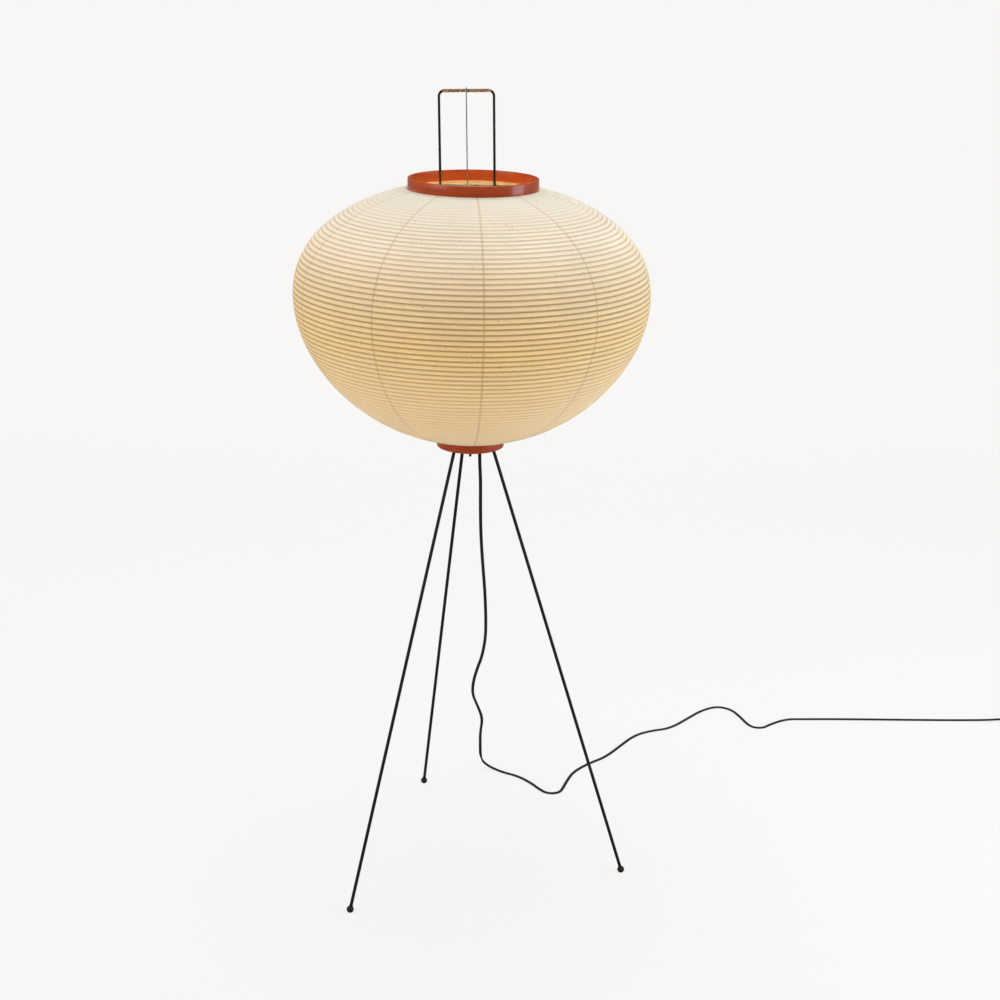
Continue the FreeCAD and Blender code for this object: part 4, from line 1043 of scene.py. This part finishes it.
# ---- flex
def coil_point(centre, t):
    """Spirals in on the floor, climbs in half a turn, and spirals out on top."""
    inward, climb, _ = COIL_TURNS
    outer = COIL_MIDDLE + COIL_PITCH * inward / 2
    inner = outer - COIL_PITCH * inward
    angle = QUARTER - 2 * math.pi * t
    if t <= inward:
        radius = outer - COIL_PITCH * t
        level = TUBE_REST
    elif t <= inward + climb:
        share = (t - inward) / climb
        radius = inner - COIL_PITCH * climb / 2 * math.sin(math.pi * share) * COIL_TUCK
        level = TUBE_REST + COIL_PITCH * (1 - math.cos(math.pi * share)) / 2
    else:
        radius = inner + COIL_PITCH * (t - inward - climb)
        level = TUBE_REST + COIL_PITCH
    return centre + Vector((radius * math.cos(angle), radius * math.sin(angle), level))


def flex_route():
    """Control points: down from the lamp, along the floor, switch, coil and plug."""
    route = [Vector(p) * MM for p in HANGING_ROUTE]
    route += [Vector((x, y, FLOOR_LEVEL)) * MM for x, y in FLOOR_ROUTE]
    switch_end = Vector((SWITCH_START + SWITCH_LENGTH, SWITCH_ACROSS, 0))
    route += [Vector((SWITCH_START, SWITCH_ACROSS, SWITCH_ENTRY)),
              switch_end + Vector((0, 0, SWITCH_ENTRY)), switch_end + Vector(LINK_MIDDLE)]
    outer = COIL_MIDDLE + COIL_PITCH * COIL_TURNS[0] / 2
    centre = switch_end + Vector((COIL_PAST_SWITCH, -COIL_ASIDE - outer, 0))
    turns = sum(COIL_TURNS)
    count = int(turns * COIL_STEPS)
    route += [coil_point(centre, turns * i / count) for i in range(count + 1)]
    end = route[-1]
    route += [Vector((end.x + TAIL_MIDDLE, end.y + TAIL_ASIDE, TAIL_LEVEL)),
              Vector((centre.x + PLUG_PAST_COIL - RELIEF_REACH, end.y + TAIL_ASIDE,
                      PLUG_LEVEL))]
    return route


def spline_points(route, name):
    """Points read from the smooth spline that has the route as its control points."""
    data = bpy.data.curves.new(name, "CURVE")
    data.dimensions = "3D"
    data.resolution_u = SPLINE_STEPS
    spline = data.splines.new("NURBS")
    spline.points.add(len(route) - 1)
    for control, spot in zip(spline.points, route):
        control.co = (spot.x, spot.y, spot.z, 1.0)
    spline.order_u = SPLINE_ORDER
    spline.use_endpoint_u = True
    holder = bpy.data.objects.new(name, data)
    bpy.context.scene.collection.objects.link(holder)
    bpy.context.view_layer.update()
    mesh = bpy.data.meshes.new_from_object(holder)
    points = [v.co.copy() for v in mesh.vertices]
    bpy.data.objects.remove(holder)
    bpy.data.curves.remove(data)
    bpy.data.meshes.remove(mesh)
    return points


def twin_section():
    """Two round cores side by side with a shallow web between them."""
    core = CORD_THICK / 2
    offset = (CORD_WIDTH - CORD_THICK) / 2
    section = []
    for sign in (1, -1):
        for i in range(CORE_STEPS + 1):
            angle = math.radians(CORE_ARC * (i / CORE_STEPS - 0.5))
            section.append((sign * (offset + core * math.cos(angle)),
                            sign * core * math.sin(angle)))
    return section


def share_below(level, start, span):
    """0 above a height, rising to 1 over the span below it."""
    return min(1.0, max(0.0, (start - level) / span))


def flex_roll(path, run):
    """Turn of the flat section: it hangs loosely twisted, and lies flat on the floor."""
    roll = []
    for (point, heading, side), distance in zip(frames_along(path), run):
        other = heading.cross(side)
        level = Vector((0, 0, 1)).cross(heading)
        if level.length < UPRIGHT:
            level = Vector((1, 0, 0))
        level.normalize()
        flat = math.atan2(level.dot(other), level.dot(side))
        lying = share_below(point.z, FLAT_FROM, FLAT_SPAN)
        loose = share_below(point.z, LOOSE_FROM, LOOSE_SPAN)
        twist = (TWIST_HIGH + TWIST_LOW * loose) * math.sin(distance * TWIST_RATE)
        turn = flat + twist * (1 - lying)
        # The section looks the same after half a turn, so the nearest such turn is taken.
        while roll and turn - roll[-1] > QUARTER:
            turn -= math.pi
        while roll and turn - roll[-1] < -QUARTER:
            turn += math.pi
        roll.append(turn)
    return roll


def make_flex():
    path = spline_points(flex_route(), "flex_route")
    run = run_along(path)
    flex = sweep("flex", path, twin_section(), FLEX, flex_roll(path, run))
    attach(flex, "stand")
    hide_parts("cord_run", "cord_link", "cord_coil", "cord_tail")


# ---- carried-over nodes
FINISHES = (
    (BLACK_STEEL, ("base_plate", "leg_socket_front_left", "leg_socket_back",
                   "leg_socket_right", "holder_bolt", "holder_nut", "bail_nuts",
                   "holder_foot")),
    (BAKELITE, ("holder_cup", "holder_skirt")),
    (CERAMIC, ("holder_insulator",)),
    (BRASS, ("centre_contact", "screw_shell", "plug_blades")),
    (CAP_METAL, ("bulb_cap",)),
    (CLEAR, ("bulb_stem",)),
    (LIGHT_STICK, ("bulb_filaments",)),
    (BRIGHT_STEEL, ("terminal_screws", "switch_screws", "switch_pin")),
    (RUBBER, ("cord_grommet", "plug_relief")),
    (FLEX, ("cord_lead",)),
    (STRAP, ("cord_tie",)),
    (MOULDED, ("switch_bottom", "switch_top", "switch_rocker", "plug_body")),
)


def dress_nodes():
    """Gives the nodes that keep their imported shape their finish."""
    for material, names in FINISHES:
        for name in names:
            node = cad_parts[name]
            for slot in node.material_slots:
                slot.material = material
            if not node.material_slots:
                node.data.materials.append(material)


# ---- stage and light
def make_floor():
    """Pale sweep: floor, a wide curve and a wall behind, seen by the camera as off-white."""
    material, tree = new_material("pale_floor")
    depth = add(tree, "ShaderNodeSeparateXYZ", Vector=object_place(tree)).outputs[1]
    face = add(tree, "ShaderNodeBsdfDiffuse", Color=linear(*FLOOR_COLOUR))
    rays = tree.nodes.new("ShaderNodeLightPath")
    glossy = rays.outputs["Is Glossy Ray"]
    dimmed = math_node(tree, "SUBTRACT", FLOOR_GLOW, times(tree, glossy, FLOOR_GLOW_LOSS))
    glow = add(tree, "ShaderNodeEmission", Color=linear(*BACKDROP_COLOUR), Strength=dimmed)
    seen = math_node(tree, "MAXIMUM", rays.outputs["Is Camera Ray"],
                     math_node(tree, "MAXIMUM", glossy, rays.outputs["Is Transmission Ray"]))
    share = times(tree, seen, ramp(tree, depth, *FLOOR_GLOW_DEPTHS, *FLOOR_GLOW_SHARES))
    close_tree(tree, mix_shaders(tree, share, face, glow))
    profile = [(-FLOOR_HALF_WIDTH, 0.0), (FLOOR_END, 0.0)]
    for i in range(1, SWEEP_STEPS + 1):
        angle = QUARTER * i / SWEEP_STEPS
        profile.append((FLOOR_END + SWEEP_RADIUS * math.sin(angle),
                        SWEEP_RADIUS - SWEEP_RADIUS * math.cos(angle)))
    profile.append((FLOOR_END + SWEEP_RADIUS, WALL_TOP))
    points = []
    for y, z in profile:
        points += [(-FLOOR_HALF_WIDTH, y, z), (FLOOR_HALF_WIDTH, y, z)]
    faces = [(2 * i, 2 * i + 1, 2 * i + 3, 2 * i + 2) for i in range(len(profile) - 1)]
    floor = mesh_piece("floor_sweep", points, faces, material)


def add_light(name, kind, place, power, colour):
    data = bpy.data.lights.new(name, kind)
    data.energy = power
    data.color = colour
    light = bpy.data.objects.new(name, data)
    bpy.context.scene.collection.objects.link(light)
    light.location = place
    return light


def add_lights():
    """Three softboxes that face the lamp, the light in the bulb and a soft world."""
    for name, place, target, size, power, colour in SOFTBOXES:
        light = add_light(name, "AREA", place, power, colour)
        light.data.shape = "RECTANGLE"
        light.data.size, light.data.size_y = size
        direction = Vector(target) - light.location
        light.rotation_euler = direction.to_track_quat("-Z", "Y").to_euler()
    bulb = add_light("bulb_light", "POINT", (0, 0, BULB_LEVEL), BULB_WATTS, BULB_COLOUR)
    bulb.data.shadow_soft_size = BULB_LIGHT_RADIUS
    world = bpy.data.worlds.new("studio")
    bpy.context.scene.world = world
    world.use_nodes = True
    tree = world.node_tree
    tree.nodes.clear()
    soft = add(tree, "ShaderNodeBackground", Color=(1.0, 1.0, 1.0, 1.0), Strength=WORLD_LIGHT)
    pale = add(tree, "ShaderNodeBackground", Color=linear(*BACKDROP_COLOUR), Strength=1.0)
    rays = tree.nodes.new("ShaderNodeLightPath")
    close_tree(tree, mix_shaders(tree, rays.outputs["Is Camera Ray"], soft, pale), "World")


# ---- build
bpy.context.scene.view_settings.view_transform = "Standard"
add_camera()
make_flex()
make_paper_skin()
make_ribs()
make_hoops()
make_legs()
make_bail()
make_wrap()
make_hanger()
make_cross_wire()
make_bulb()
dress_nodes()
make_floor()
add_lights()
